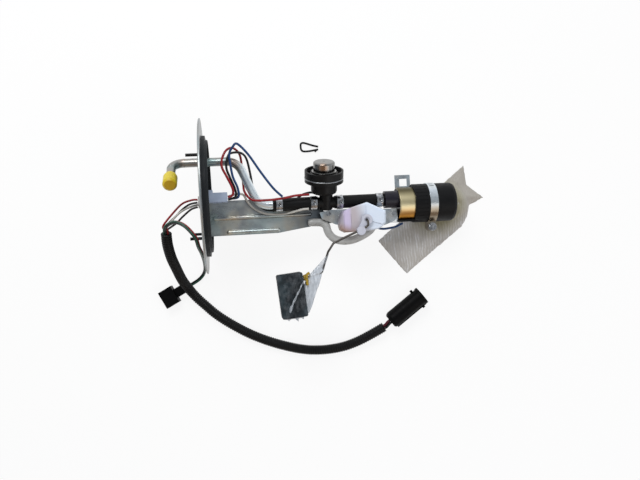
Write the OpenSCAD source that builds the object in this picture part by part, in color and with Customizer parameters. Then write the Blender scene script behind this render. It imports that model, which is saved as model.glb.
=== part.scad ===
/* [Flange] */
// Diameter of the zinc-plated steel flange
flange_d = 167; // [160:1:176]
// Thickness of the flange plate
flange_t = 2; // [1.6:0.1:3]
// Outer diameter of the gasket's sealing ring
gasket_d = 130; // [128:1:136]
// Width of the sealing ring's flat face
gasket_w = 4; // [3:0.5:8]
// Thickness of the sealing ring
gasket_t = 4; // [2.5:0.5:5]
// Length of the gasket's skirt inside the tank hole
skirt_l = 2.5; // [2:0.5:9]
// Pitch circle of the four studs
stud_pcd = 120; // [116:1:126]
// Diameter of a stud
stud_d = 3.2; // [2.6:0.1:5]
// Length of a stud beyond the plate
stud_l = 13; // [8:1:18]
// Turn of the stud square about the flange axis
stud_clock = 4; // [0:1:10]

/* [Outlet tube] */
// Outer diameter of the steel outlet tube
tube_d = 9.5; // [8.5:0.1:10]
// Wall of the outlet tube
tube_wall = 0.9; // [0.7:0.1:1.2]
// Height of the tube over the flange axis
tube_y = 38.4; // [34:0.2:40]
// Straight run of the tube outside the flange
tube_out = 20.5; // [16:0.5:26]
// Bend radius outside the flange
tube_bend = 13; // [12:0.5:16]
// Lean of the outlet end from the viewing side
tube_lean = 33; // [28:1:38]
// Straight length after the outer bend
tube_tip = 35; // [30:1:42]
// Straight run of the tube inside the flange
tube_in = 25; // [20:1:28]
// Bend radius inside the flange
drop_bend = 18; // [15:1:20]
// Angle by which the tube turns down to the hose line
drop_angle = 67; // [60:1:72]
// Outer diameter of the vinyl shipping cap
cap_d = 15; // [14.4:0.2:17]
// Length of the shipping cap
cap_l = 20; // [16:1:24]

/* [Wiring pass-through] */
// Distance of the pass-through below the flange axis
pass_drop = 6; // [3:0.5:8]
// Height of the inner white plug
plug_h = 13; // [11:0.5:14]
// Length of the inner white plug
plug_l = 21; // [17:1:24]

/* [Hoses and regulator] */
// Offset of the fuel line below the flange axis
line_drop = 12; // [10:0.5:14]
// Offset of the fuel line behind the flange axis
line_back = 12; // [11:0.5:13]
// Outer diameter of the rubber hoses
hose_d = 14.5; // [13.5:0.1:15.5]
// Width of an ear clamp
ear_w = 7; // [5:0.5:8]
// Distance from the flange to the regulator tower
tee_x = 133.5; // [130:0.5:137]
// Roll of the regulator tower towards the viewer
reg_roll = 23; // [18:1:30]
// Diameter of the tower's neck
neck_d = 14.8; // [14:0.2:17]
// Diameter of the tower's cup-shaped collar
collar_d = 43; // [41:1:47]
// Height of the can's top over the fuel line
can_top = 47.8; // [46:0.2:52]
// Diameter of the chromed regulator can
can_d = 24; // [22.5:0.5:24.5]
// Travel of the regulator valve
valve_travel = 1.2; // [0.8:0.1:1.6]

/* [Pump] */
// Distance from the flange to the pump's outlet end
pump_x = 215.5; // [211:0.5:219]
// Diameter of the pump case
pump_d = 38; // [37:0.5:39]
// Length of the pump case
pump_l = 65; // [62:0.5:74]
// Offset of the pump axis below the flange axis
pump_drop = 17.5; // [16.5:0.5:18.5]
// Offset of the pump axis behind the flange axis
pump_back = 17; // [16:0.5:18]
// Thickness of the rubber sleeve
sleeve_t = 3; // [2.6:0.2:3.4]
// Length of the rubber sleeve
sleeve_l = 48.5; // [42:0.5:52]
// Overhang of the sleeve past the case's inlet end
sleeve_over = 1; // [0.5:0.5:3]
// Width of the steel band clamp
band_w = 9; // [7:0.5:12]
// Distance of the band's middle from the case's middle
band_off = 6; // [2:0.5:10]
// Travel of the check valve
check_travel = 1.5; // [1:0.1:2]

/* [Hanger] */
// Thickness of the hanger's steel sheet
sheet_t = 1.5; // [1.2:0.1:1.8]
// Height of the hanger channel
hanger_h = 39; // [36:1:41]
// Depth of the channel's folded edges
lip_h = 8; // [5:0.5:9]
// Offset of the channel's face behind the flange axis
hanger_back = 23.5; // [22.5:0.5:24.5]
// Radius of the pressed ribs
rib_r = 2.4; // [1.8:0.2:3]
// Height of the sender plate over the channel's face
plate_rise = 12; // [10:0.5:13]

/* [Level sender] */
// Distance from the flange to the arm's pivot
pivot_x = 175.4; // [173:0.2:178]
// Offset of the pivot below the flange axis
pivot_drop = 34; // [33:0.5:35]
// Depth of the white sender housing
sender_h = 14; // [13:0.5:15]
// Diameter of the float arm's wire
arm_d = 2.5; // [2:0.1:3]
// Distance of the float from the pivot towards the flange
arm_reach = 87.5; // [80:0.5:95]
// Distance of the float below the pivot
arm_fall = 78; // [70:1:86]
// Length of the float
float_l = 48; // [44:1:54]
// Width of the float
float_w = 28; // [24:1:32]
// Thickness of the float
float_h = 20; // [16:1:22]

/* [Strainer] */
// Thickness of the strainer sock under the pump
sock_h = 7.5; // [5:0.5:9]
// Distance of the strainer's inlet from the pump axis
inlet_off = 8; // [6:0.5:9]

/* [Harness] */
// Diameter of the corrugated loom
loom_d = 11.5; // [10.5:0.5:12.5]
// Diameter of the wires outside the flange
lead_d = 2.2; // [1.8:0.1:2.4]
// Diameter of the wires inside the flange
wire_d = 2.6; // [2:0.1:2.8]
// Diameter of the round connector's body
conn_d = 20.5; // [19:0.5:22]
// Length of the round connector
conn_l = 49; // [45:1:53]

/* [Hidden] */

$fn = 64;
slip = 0.05;
gap = 0.3;
// Middle of the whole part's box on the bench, seen from under the viewpoint
mid_x = 18.86;
mid_y = 24.38;
// Place of the flange axis on the bench
flange_x = -121.8;
flange_y = 53.6;

tube_r = tube_d / 2;
hose_r = hose_d / 2;
line_y = -line_drop;
line_z = -line_back;
pump_r = pump_d / 2;
pump_y = -pump_drop;
pump_z = -pump_back;
pump_end = pump_x + pump_l;
case_t = 1.2;
sleeve_r = pump_r + sleeve_t;
sleeve_end = pump_end + sleeve_over;
sleeve_x = sleeve_end - sleeve_l;
band_x = pump_x + pump_l / 2 + band_off;
band_t = 0.7;
web_z = -hanger_back;
ear_t = 0.8;
stub_r = 9.7;
carrier_x = pump_x - 1;
pass_y = -pass_drop;
pivot_y = -pivot_drop;

// The part lies on the flange's rim and on the strainer sock
rest_up = flange_d / 2 + pump_z - sleeve_r;
rest_run = sleeve_end;
lay_tilt = acos((sock_h + gap) / norm([rest_up, rest_run])) - atan2(rest_run, rest_up);
flange_z = flange_d / 2 * cos(lay_tilt);

// Bench coordinates, then the same for a piece given along the flange axis
module bench() { translate([-mid_x, -mid_y, 0]) children(); }
module laid() {
    bench() translate([flange_x, flange_y, flange_z]) rotate([0, lay_tilt, 0]) children();
}
module along_x(x, y, z) { translate([x, y, z]) rotate([0, 90, 0]) children(); }
module rod(x0, x1, y, z, r) { along_x(x0, y, z) cylinder(h = x1 - x0, r = r); }
module pipe(x0, x1, y, z, r, bore) {
    difference() {
        rod(x0, x1, y, z, r);
        rod(x0 - 1, x1 + 1, y, z, bore);
    }
}
module slab(low, high) { translate(low) cube(high - low); }

// A round tube swept along a route, its rings carried without twist
function unit(v) = v / norm(v);
function heading(p, i) = unit(p[min(i + 1, len(p) - 1)] - p[max(i - 1, 0)]);
function square_to(n, t) = unit(n - t * (n * t));
function carried(p, n, i = 0) = i == len(p) ? [] :
    let (m = square_to(n, heading(p, i))) concat([m], carried(p, m, i + 1));
function first_side(t) = abs(t[2]) < 0.9 ? cross(t, [0, 0, 1]) : cross(t, [1, 0, 0]);
module swept(p, r, sides = 8) {
    n = carried(p, unit(first_side(heading(p, 0))));
    last = (len(p) - 1) * sides;
    rings = [for (i = [0:len(p) - 1], k = [0:sides - 1])
        let (b = cross(heading(p, i), n[i]), a = 360 * k / sides)
        p[i] + r * (cos(a) * n[i] + sin(a) * b)];
    walls = [for (i = [0:len(p) - 2], k = [0:sides - 1])
        let (a = i * sides + k, b = i * sides + (k + 1) % sides)
        each [[a, a + sides, b + sides], [a, b + sides, b]]];
    polyhedron(rings, concat(walls,
        [[for (k = [0:sides - 1]) k], [for (k = [0:sides - 1]) last + sides - 1 - k]]));
}
// Extra points on a smooth curve through a route
function between(a, b, c, d, t) = 0.5 * ((2 * b) + (c - a) * t
    + (2 * a - 5 * b + 4 * c - d) * t * t + (3 * b - a - 3 * c + d) * t * t * t);
function smooth(p, n = 2) = concat([for (i = [0:len(p) - 2], k = [0:n - 1])
    between(p[max(i - 1, 0)], p[i], p[i + 1], p[min(i + 2, len(p) - 1)], k / n)], [p[len(p) - 1]]);

// Flange plate, gasket and studs
module flange_plate() {
    color("#b8bcc0") laid() difference() {
        rotate([0, 90, 0]) rotate_extrude($fn = 128) polygon([
            [0, -flange_t], [flange_d / 2 - 3, -flange_t], [flange_d / 2 - 1, 0.4 - flange_t],
            [flange_d / 2, 1 - flange_t], [flange_d / 2, 0], [0, 0]]);
        rod(-flange_t - 1, 1, tube_y, line_z, tube_r);
        slab([-flange_t - 1, pass_y - pass_h / 2, -pass_w / 2], [1, pass_y + pass_h / 2, pass_w / 2]);
    }
}
module flange_gasket() {
    ring_r = gasket_d / 2;
    skirt_r = ring_r - gasket_w;
    color("#15171a") laid() rotate([0, 90, 0]) rotate_extrude($fn = 128) polygon([
        [skirt_r - 2.5, 0], [ring_r, 0], [ring_r, gasket_t], [skirt_r, gasket_t],
        [skirt_r - 0.8, gasket_t + skirt_l], [skirt_r - 2.5, gasket_t + skirt_l]]);
}
module studs() {
    color("#101010") laid() for (k = [0:3]) rotate([stud_clock + 45 + 90 * k, 0, 0])
        translate([-flange_t, stud_pcd / 2, 0]) rotate([0, -90, 0]) {
            cylinder(h = stud_l, d = stud_d, $fn = 32);
        }
}

// Outlet tube: two bends down to the hose line, one bend out to the open end
b1_x = tube_in;
fall_dy = drop_bend * (1 - cos(drop_angle));
fall_dx = drop_bend * sin(drop_angle);
slope_l = (tube_y - line_y - 2 * fall_dy) / sin(drop_angle);
fall_x = b1_x + 2 * fall_dx + slope_l * cos(drop_angle);
hose1_x = fall_x + 3.5;
hose_in = 14;
module tube_piece(h, over = 0) {
    difference() {
        cylinder(h = h, r = tube_r + over);
        translate([0, 0, -1]) cylinder(h = h + 2, r = tube_r - tube_wall - over);
    }
}
module tube_turn(r, angle, from = 0) {
    rotate([0, 0, from]) rotate_extrude(angle = angle - 2 * from) translate([r, 0]) difference() {
        circle(tube_r);
        circle(tube_r - tube_wall);
    }
}
// A bent piece between two straight ones, each seam closed by a faint swage
module tube_swage(x, y, angle) {
    translate([x, y, line_z]) rotate([0, 0, angle]) along_x(-1, 0, 0) tube_piece(2, 0.15);
}
// Frame of the open end: its axis is local Z, the flange lies towards local X
module at_outlet() {
    translate([-tube_out - tube_bend, tube_y, line_z]) rotate([tube_lean, 0, 0]) children();
}
bead_r = tube_r + 0.9;
module outlet_tube() {
    $fn = 48;
    seam = 0.15;
    seam_turn = 0.5;
    color("#aab09c") laid() {
        along_x(seam - tube_out, tube_y, line_z) tube_piece(tube_out + b1_x - 2 * seam);
        for (x = [-tube_out, b1_x]) tube_swage(x, tube_y, 0);
        translate([b1_x, tube_y - drop_bend, line_z]) rotate([0, 0, 90 - drop_angle])
            tube_turn(drop_bend, drop_angle, seam_turn);
        tube_swage(b1_x + fall_dx, tube_y - fall_dy, -drop_angle);
        translate([b1_x + fall_dx, tube_y - fall_dy, line_z]) rotate([0, 0, -drop_angle])
            along_x(seam, 0, 0) tube_piece(slope_l - 2 * seam);
        tube_swage(fall_x - fall_dx, line_y + fall_dy, -drop_angle);
        translate([fall_x, line_y + drop_bend, line_z]) rotate([0, 0, -90 - drop_angle])
            tube_turn(drop_bend, drop_angle, seam_turn);
        tube_swage(fall_x, line_y, 0);
        along_x(fall_x + seam, line_y, line_z) tube_piece(hose1_x + hose_in - fall_x - seam);
        at_outlet() {
            translate([tube_bend, 0, tube_bend]) rotate([90, 0, 0]) rotate([0, 0, 180])
                tube_turn(tube_bend, 90, seam_turn);
            translate([0, 0, tube_bend - 1]) tube_piece(2, 0.15);
            translate([0, 0, tube_bend + seam]) tube_piece(tube_tip - seam);
            translate([0, 0, tube_bend + tube_tip - 9]) difference() {
                cylinder(h = 2, r = bead_r);
                translate([0, 0, -1]) cylinder(h = 4, r = tube_r - 0.4);
            }
        }
    }
}
module outlet_cap() {
    color("#d8c020") laid() at_outlet()
        translate([0, 0, tube_bend + tube_tip + 2 - cap_l]) rotate_extrude() polygon([
            [bead_r + gap, 0], [cap_d / 2 - 1.2, 0], [cap_d / 2, 4], [cap_d / 2, cap_l - 2],
            [cap_d / 2 - 2, cap_l], [0, cap_l], [0, cap_l - 1.5], [bead_r + gap, cap_l - 1.5]]);
}

// Bulkhead connector for the wires
pass_h = 10;
pass_w = 20;
module pass_through() {
    color("#c8c6c2") laid() {
        slab([-flange_t - 1, pass_y - pass_h / 2, -pass_w / 2], [3.5, pass_y + pass_h / 2, pass_w / 2]);
        for (s = [-1, 1]) rod(-flange_t - 4.5, -flange_t, pass_y, s * (pass_w / 2 - 4), 6.2);
        slab([-flange_t - 4.5, pass_y - 6.2, 4 - pass_w / 2], [-flange_t, pass_y + 6.2, pass_w / 2 - 4]);
    }
}
module inner_plug() {
    color("#dcdce2") laid() difference() {
        union() {
            slab([3.5, pass_y - 1, -10], [9, pass_y - 1 + plug_h, 10]);
            slab([3.5, pass_y - 1, -10], [3.5 + plug_l, pass_y - 4 + plug_h, 10]);
        }
        slab([9, pass_y - 2, -6], [19, pass_y, 6]);
        slab([17, pass_y - 5 + plug_h, -3], [4.5 + plug_l, pass_y - 3 + plug_h, 3]);
    }
}

// Hanger: a pressed channel from the flange to the sender plate
hanger_end = tee_x - 5.5;
hanger_top = -4;
stand_offs = [[tee_x + 1.9, -24.5], [tee_x + 15.8, -28.6]];
plate_z = web_z + plate_rise;
sender_z = plate_z + sheet_t;
screw_at = [carrier_x - 4.2, -27.8];
module rib(x0, x1, y) {
    rod(x0, x1, y, web_z, rib_r);
    for (x = [x0, x1]) translate([x, y, web_z]) sphere(rib_r);
}
module hanger() {
    low = hanger_top - hanger_h;
    bend_x = hanger_end * 0.62;
    rise = 7;
    fall = atan2(rise, hanger_end - bend_x);
    run = norm([rise, hanger_end - bend_x]);
    color("#8f9698") laid() difference() {
        union() {
            translate([0, 0, web_z - sheet_t]) linear_extrude(sheet_t) polygon([
                [0, hanger_top], [0, low], [bend_x, low], [hanger_end, low + rise],
                [tee_x + 19, low + rise + 2], [tee_x + 19, -23.5], [hanger_end + 4, -21],
                [hanger_end, hanger_top - 9], [hanger_end - 30, hanger_top]]);
            slab([0, hanger_top - sheet_t, web_z - lip_h], [hanger_end - 30, hanger_top, web_z]);
            slab([0, low, web_z - lip_h], [bend_x, low + sheet_t, web_z]);
            translate([bend_x, low, web_z - lip_h]) rotate([0, 0, fall]) cube([run - 1, sheet_t, lip_h]);
            slab([0, low, web_z - 12], [sheet_t, hanger_top + 9, web_z]);
            slab([0, hanger_top - 2, web_z - lip_h], [5, hanger_top, web_z]);
            intersection() {
                union() {
                    rib(9, hanger_end - 12, hanger_top - hanger_h / 2);
                    rib(24, bend_x, low + 3.5);
                }
                slab([0, low, web_z - sheet_t], [hanger_end, 0, web_z + 9]);
            }
        }
        for (p = stand_offs) rod_down(p, 1.6);
    }
}
module rod_down(p, r) { translate([p[0], p[1], web_z - 9]) cylinder(h = 9 + plate_rise + 9, r = r); }
module hanger_rivets() {
    color("#d8dcde") laid() {
        for (p = stand_offs) translate([p[0], p[1], 0]) {
            translate([0, 0, web_z - sheet_t - 1]) cylinder(h = 1, r = 3);
            translate([0, 0, web_z - sheet_t]) cylinder(h = sender_z - web_z + sheet_t, r = 1.6);
            translate([0, 0, web_z]) cylinder(h = plate_rise, r = 3.2);
            translate([0, 0, sender_z]) cylinder(h = 1, r = 3);
        }
        translate([screw_at[0], screw_at[1], sender_z]) cylinder(h = 1.4, r = 2.9, $fn = 6);
        translate([screw_at[0], screw_at[1], plate_z]) cylinder(h = sheet_t, r = 1.6);
    }
}

// Carrier: sender plate in front, pump cradle behind, finger along the pump
cradle_z = pump_z - sleeve_r - gap;
finger_y = pump_y - pump_r;
plate_top = line_y - hose_r - ear_t - 0.45;
stub_top = line_y - stub_r - 0.7;
module pump_carrier() {
    fold_x = carrier_x - sheet_t;
    tab_x = carrier_x + 6;
    color("#a3a7a6") laid() difference() {
        union() {
            translate([0, 0, plate_z]) linear_extrude(sheet_t) polygon([
                [tee_x - 8.2, -23], [tee_x + 6, plate_top], [pivot_x + 19.4, plate_top],
                [pivot_x + 21.5, stub_top], [carrier_x, stub_top], [carrier_x, pivot_y + 0.4],
                [pivot_x + 34.4, pivot_y - 2.8], [pivot_x + 24.9, pivot_y - 6.3],
                [pivot_x + 17.9, pivot_y - 7.6], [tee_x + 9.6, -37.3], [tee_x + 3, -34.1],
                [tee_x - 5.8, -30.3]]);
            slab([fold_x, pivot_y + 0.4, cradle_z - sheet_t], [carrier_x, stub_top, sender_z]);
            slab([fold_x, finger_y - sheet_t, cradle_z - sheet_t], [carrier_x, pivot_y + 1, pump_z + 6]);
            translate([0, 0, cradle_z - sheet_t]) linear_extrude(sheet_t) polygon([
                [fold_x, finger_y - sheet_t], [fold_x, stub_top], [tab_x, stub_top + 6.5],
                [tab_x, tab_top], [tab_x + 18.5, tab_top], [tab_x + 18.5, finger_y - sheet_t]]);
            slab([fold_x, finger_y - sheet_t, cradle_z - sheet_t], [sleeve_x, finger_y, pump_z + 6]);
            slab([sleeve_x - 1, finger_y - sheet_t, pump_z - 7],
                [band_x + band_w / 2 + 6, finger_y, pump_z + 6]);
        }
        for (p = concat(stand_offs, [screw_at])) rod_down(p, 1.6);
        slab([tab_x + 5.5, tab_top - 13.3, cradle_z - 9], [tab_x + 14.5, tab_top - 4.6, cradle_z + 9]);
    }
}
tab_top = 17.7;

// Rubber hoses and their ear clamps
hose1_end = tee_x - 9.3;
hose2_x = tee_x + 9.5;
hose2_end = pump_x - 15.5;
module lower_hose() {
    color("#131517") laid() difference() {
        rod(hose1_x, hose1_end, line_y, line_z, hose_r);
        rod(hose1_x - 1, hose1_end + 1, line_y, line_z, tube_r);
    }
}
module upper_hose() {
    color("#131517") laid() pipe(hose2_x, hose2_end, line_y, line_z, hose_r, tube_r);
}
module ear_clamp(x) {
    r = hose_r + ear_t;
    difference() {
        union() {
            rod(x - ear_w / 2, x + ear_w / 2, line_y, line_z, r);
            slab([x - ear_w / 2, line_y - 3.2, line_z], [x + ear_w / 2, line_y + 3.2, line_z + r + 2]);
        }
        rod(x - ear_w, x + ear_w, line_y, line_z, hose_r);
        slab([x - ear_w, line_y - 2.2, line_z + hose_r + 0.2], [x + ear_w, line_y + 2.2, line_z + r + 1.2]);
        translate([x, line_y, line_z + r + 3.4]) sphere(2.4);
    }
}
module hose_clamps() {
    color("#c9ccd0") laid()
        for (x = [hose1_x + 7, hose1_end - 5, hose2_x + 5.6, hose2_end - 6.2]) ear_clamp(x);
}

// Regulator tower, given along its own axis from the fuel line
tower_x = tee_x - 2.3;
cup_z = 35.5;
rim_z = cup_z + 2.3;
pocket_r = can_d / 2 + 1;
body_r = pocket_r + 1.5;
collar_r = collar_d / 2;
groove_z = 29.5;
module upright(x) {
    laid() translate([x, line_y, line_z]) rotate([reg_roll - 90, 0, 0]) children();
}
module tower() { upright(tower_x) children(); }
module regulator_tee() {
    neck_r = neck_d / 2;
    color("#17191a") difference() {
        union() {
            upright(tee_x) translate([0, 0, -7]) cylinder(h = 26, r = neck_r);
            tower() rotate_extrude() polygon([
                [0, 12], [body_r - 2.5, 12], [body_r - 0.7, 13], [body_r, 15], [body_r, cup_z - 2.5],
                [collar_r - 2, cup_z - 2.5], [collar_r - 2, cup_z - 10.3], [collar_r, cup_z - 10.3],
                [collar_r, groove_z - 0.9], [collar_r - 1, groove_z - 0.9], [collar_r - 1, groove_z + 0.9],
                [collar_r, groove_z + 0.9], [collar_r, rim_z], [collar_r - 2, rim_z],
                [collar_r - 2, cup_z], [0, cup_z]]);
            laid() rod(hose1_end, hose2_x, line_y, line_z, neck_r - 1);
            laid() rod(hose1_end - 11, hose2_x + 12, line_y, line_z, tube_r);
        }
        tower() translate([0, 0, 20]) cylinder(h = 20, r = pocket_r);
        upright(tee_x) cylinder(h = 21, r = 3.2);
        laid() rod(hose1_end - 12, hose2_x + 13, line_y, line_z, 3.2);
        for (a = [-32, 148]) tower() rotate([0, 0, a]) translate([0, 0, cup_z - 3.5])
            rotate_extrude(angle = 64) translate([body_r + 0.8, 0])
                square([collar_r - 2.8 - body_r - 0.8, 5]);
    }
}
// The can's crimped rim rests on the cup's floor, its foot stands in the pocket
can_r = can_d / 2;
can_t = 0.8;
rim_r = pocket_r + 0.7;
module regulator_can() {
    foot_r = can_r - 1;
    top_r = can_r - 2;
    color("#d4d6d8") tower() difference() {
        rotate_extrude() union() {
            polygon([[0, 20.5], [foot_r, 20.5], [foot_r, cup_z], [rim_r, cup_z],
                [rim_r, cup_z + 1.8], [can_r, cup_z + 1.8], [can_r, can_top - 2],
                [top_r, can_top - 2], [top_r, can_top], [0, can_top]]);
            translate([top_r, can_top - 2]) circle(2, $fn = 48);
        }
        translate([0, 0, 22]) cylinder(h = 2.5, r = foot_r - can_t);
        translate([0, 0, 26]) cylinder(h = can_top - can_t - 26, r = foot_r - can_t);
        translate([0, 0, 19]) cylinder(h = 9, r = 1.1);
        translate([0, 0, can_top + 5]) sphere(5.4);
    }
}
module regulator_seal() {
    color("#101010") tower() translate([0, 0, 21.1]) rotate_extrude()
        translate([can_r, 0]) circle(0.9, $fn = 32);
}
module retainer_ring() {
    color("#cfd2d4") tower() translate([0, 0, groove_z]) rotate([0, 0, 20])
        rotate_extrude(angle = 320) translate([collar_r - 0.25, 0]) circle(0.7, $fn = 32);
}
valve_z = 30;
spring_r = 6.5;
module regulator_valve() {
    color("#b49a5a") tower() {
        translate([0, 0, valve_z]) cylinder(h = 1.2, r = can_r - 3.2);
        translate([0, 0, 27.4]) cylinder(h = valve_z - 27.4, r = 1.1);
        translate([0, 0, 27.4]) sphere(1.7);
        translate([0, 0, valve_z]) cylinder(h = 3, r = 4);
    }
}
function coil(r, z0, z1, turns, steps) = [for (k = [0:turns * steps])
    [r * cos(360 * k / steps), r * sin(360 * k / steps), z0 + (z1 - z0) * k / (turns * steps)]];
module regulator_spring() {
    wire_r = 0.8;
    color("#8a8d90") tower()
        swept(coil(spring_r, valve_z + 1.2 + wire_r, can_top - can_t - wire_r - 1.4, 5, 12), wire_r, 6);
}

// Pump, given along its own axis from the outlet end
module in_pump(x) { laid() along_x(pump_x + x, pump_y, pump_z) children(); }
module pump_case() {
    color("#c2a060") in_pump(0) difference() {
        rotate_extrude() polygon([
            [pump_r - 1.8, 0], [pump_r - 1, 0], [pump_r, 1], [pump_r, pump_l - 1],
            [pump_r - 1, pump_l], [pump_r - 1.8, pump_l], [pump_r - 1.8, pump_l - 0.8],
            [pump_r - case_t, pump_l - 0.8], [pump_r - case_t, 0.8], [pump_r - 1.8, 0.8]]);
    }
}
shaft_r = 2;
seat_x = pump_x - 2;
module pump_head() {
    color("#1c2030") laid() difference() {
        union() {
            rod(pump_x + 0.8, pump_x + 7, pump_y, pump_z, pump_r - case_t);
            rod(hose2_end, pump_x + 0.8, line_y, line_z, stub_r);
            rod(hose2_end - 13, hose2_end, line_y, line_z, tube_r);
            rod(pump_x + 7, pump_x + 9, pump_y, pump_z, 4);
        }
        rod(pump_x + 2, pump_x + 10, pump_y, pump_z, shaft_r + slip);
        rod(seat_x - 12, seat_x, line_y, line_z, 3.4);
        rod(hose2_end - 14, seat_x, line_y, line_z, 2.5);
        rod(seat_x - 1, pump_x + 8, line_y, line_z, 1.8);
    }
}
module check_valve() {
    color("#c8c8c0") laid() {
        rod(seat_x - 4, seat_x - 0.1, line_y, line_z, 2.8);
        rod(seat_x - 7, seat_x - 4, line_y, line_z, 1.1);
    }
}
module check_spring() {
    turn_r = 2.7;
    color("#9a9da0") laid() along_x(seat_x - 12, line_y, line_z)
        swept(coil(turn_r, 0.4, 7.6, 4, 10), 0.35, 6);
}
motor_in = 14;
motor_l = pump_l - 35;
rotor_r = pump_r - case_t - 3;
chamber_in = motor_in + motor_l + 1;
module pump_magnets() {
    color("#4a4a4c") in_pump(motor_in) difference() {
        cylinder(h = motor_l, r = pump_r - case_t);
        translate([0, 0, -1]) cylinder(h = motor_l + 2, r = rotor_r + 0.7);
        for (s = [0, 180]) rotate([0, 0, s]) slab([0, -4, -1], [pump_r, 4, motor_l + 1]);
    }
}
comm_r = 7;
module pump_brushes() {
    color("#2c2c2e") in_pump(0) for (s = [45, 225]) rotate([0, 0, s])
        slab([comm_r + gap, -2, 7], [rotor_r - 1, 2, motor_in - 0.5]);
}
module armature() {
    slots = 8;
    color("#8c5a34") in_pump(0) {
        translate([0, 0, 3]) cylinder(h = chamber_in + 10 - 3, r = shaft_r);
        translate([0, 0, 9.4]) cylinder(h = 4.4, r = comm_r);
        difference() {
            translate([0, 0, motor_in + 2]) cylinder(h = motor_l - 4, r = rotor_r);
            for (k = [0:slots - 1]) rotate([0, 0, 360 * k / slots])
                slab([6, -1, motor_in], [rotor_r + 1, 1, motor_in + motor_l]);
        }
    }
}
module pump_chamber() {
    color("#b9bcbe") in_pump(chamber_in) difference() {
        cylinder(h = 10, r = pump_r - case_t);
        translate([0, 0, 4]) cylinder(h = 7, r = rotor_r + 0.9);
        translate([0, 0, -1]) cylinder(h = 6, r = shaft_r + slip);
        translate([11, 0, -1]) cylinder(h = 6, r = 1.8);
    }
}
module impeller() {
    vanes = 24;
    color("#d8c8a0") in_pump(chamber_in + 4.4) difference() {
        cylinder(h = 4.2, r = rotor_r);
        translate([0, 0, -1]) cylinder(h = 7, r = shaft_r);
        for (k = [0:vanes - 1]) rotate([0, 0, 360 * k / vanes])
            slab([rotor_r - 2.4, -0.6, -1], [rotor_r + 1, 0.6, 6]);
    }
}
cover_in = chamber_in + 10;
inlet_r = 5.5;
module pump_inlet() {
    color("#b9bcbe") in_pump(cover_in) difference() {
        union() {
            cylinder(h = pump_l - 0.8 - cover_in, r = pump_r - case_t);
            translate([inlet_off, 0, 0]) cylinder(h = pump_l + 8 - cover_in, r = inlet_r);
        }
        translate([0, 0, -1]) cylinder(h = 3, r = shaft_r + slip + 0.5);
        translate([inlet_off, 0, -1]) cylinder(h = 40, r = inlet_r - 1.2);
    }
}

// Rubber sleeve with grip ribs, a slot for the carrier's finger, and the band
module pump_sleeve() {
    ribs = 30;
    color("#141617") laid() difference() {
        union() {
            along_x(sleeve_x, pump_y, pump_z) rotate_extrude() polygon([
                [pump_r, 0], [sleeve_r - 1, 0], [sleeve_r, 1], [sleeve_r, sleeve_l - 4],
                [sleeve_r - 1.2, sleeve_l - 1.2], [sleeve_r - 4 + sleeve_t / 3, sleeve_l],
                [pump_r, sleeve_l]]);
            slab([carrier_x, finger_y - 1.7, pump_z + 6.3], [sleeve_x + 4, finger_y + 0.7, pump_z + 9]);
        }
        for (k = [0:ribs - 1]) along_x(sleeve_x, pump_y, pump_z) rotate([0, 0, 360 * (k + 0.5) / ribs])
            slab([sleeve_r - 0.4, -0.3, -1], [sleeve_r + 1, 0.3, band_x - band_w / 2 - 2 - sleeve_x]);
        slab([sleeve_x - 1, finger_y - sheet_t - 0.1, pump_z - 7.2],
            [sleeve_x + sleeve_l + 1, finger_y + 0.1, pump_z + 6.2]);
    }
}
band_r = sleeve_r + 0.1;
screw_y = pump_y - band_r - band_t - 5.2;
module band_clamp() {
    color("#ccd0d4") laid() difference() {
        union() {
            pipe(band_x - band_w / 2, band_x + band_w / 2, pump_y, pump_z, band_r + band_t, band_r);
            translate([band_x, screw_y, pump_z + 1]) cylinder(h = 13, r = 4.6, center = true);
            slab([band_x - band_w / 2, screw_y, pump_z - 5.5],
                [band_x + band_w / 2, pump_y - band_r - band_t + 1.4, pump_z + 7.5]);
        }
        rod(band_x - band_w, band_x + band_w, pump_y, pump_z, band_r);
        translate([band_x, screw_y, pump_z]) cylinder(h = 40, r = 3.6, center = true);
        for (a = [56:10:126]) along_x(band_x, pump_y, pump_z) rotate([0, 0, a])
            slab([band_r - 1, -0.6, -band_w / 2 + 2], [band_r + 3, 0.6, band_w / 2 - 2]);
    }
}
module band_screw() {
    color("#b8bcc0") laid() translate([band_x, screw_y, pump_z]) difference() {
        union() {
            translate([0, 0, -6]) cylinder(h = 14, r = 3.5);
            translate([0, 0, 7.7]) cylinder(h = 5, r = 4.2, $fn = 6);
            translate([0, 0, 7.7]) cylinder(h = 1.2, r = 4.8);
        }
        slab([-5, -0.6, 11], [5, 0.6, 14]);
        for (z = [-5:1.6:6]) translate([0, 0, z]) difference() {
            cylinder(h = 0.7, r = 4);
            cylinder(h = 3, r = 3, center = true);
        }
    }
}

// Strainer: a plastic collar on the pump's inlet and the woven sock on the bench
collar_len = 9;
inlet_z = pump_z - inlet_off;
module strainer_collar() {
    color("#e4e2dc") laid() difference() {
        union() {
            rod(pump_end + 0.3, pump_end + 0.3 + collar_len, pump_y, inlet_z, inlet_r + 2.5);
            translate([pump_end + 5, pump_y, inlet_z - 11]) cylinder(h = 11, r = 4.5);
        }
        rod(pump_end, pump_end + 8.2, pump_y, inlet_z, inlet_r);
        translate([pump_end + 5, pump_y, inlet_z - 12]) cylinder(h = 12, r = 3);
    }
}
module pad(points, high, shrink) {
    mid = [for (k = [0:1]) [for (p = points) p[k]] * [for (p = points) 1] / len(points)];
    hull() {
        linear_extrude(1.4) polygon(points);
        translate([mid[0], mid[1], high - 0.5]) linear_extrude(0.5) scale(shrink)
            translate([-mid[0], -mid[1]]) polygon(points);
    }
}
sock_left = [70, -5];
sock_low = [102, -46];
sock_right = [171, 7];
sock_fold = [180, 31];
sock_tip = [198.5, 40.5];
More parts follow.
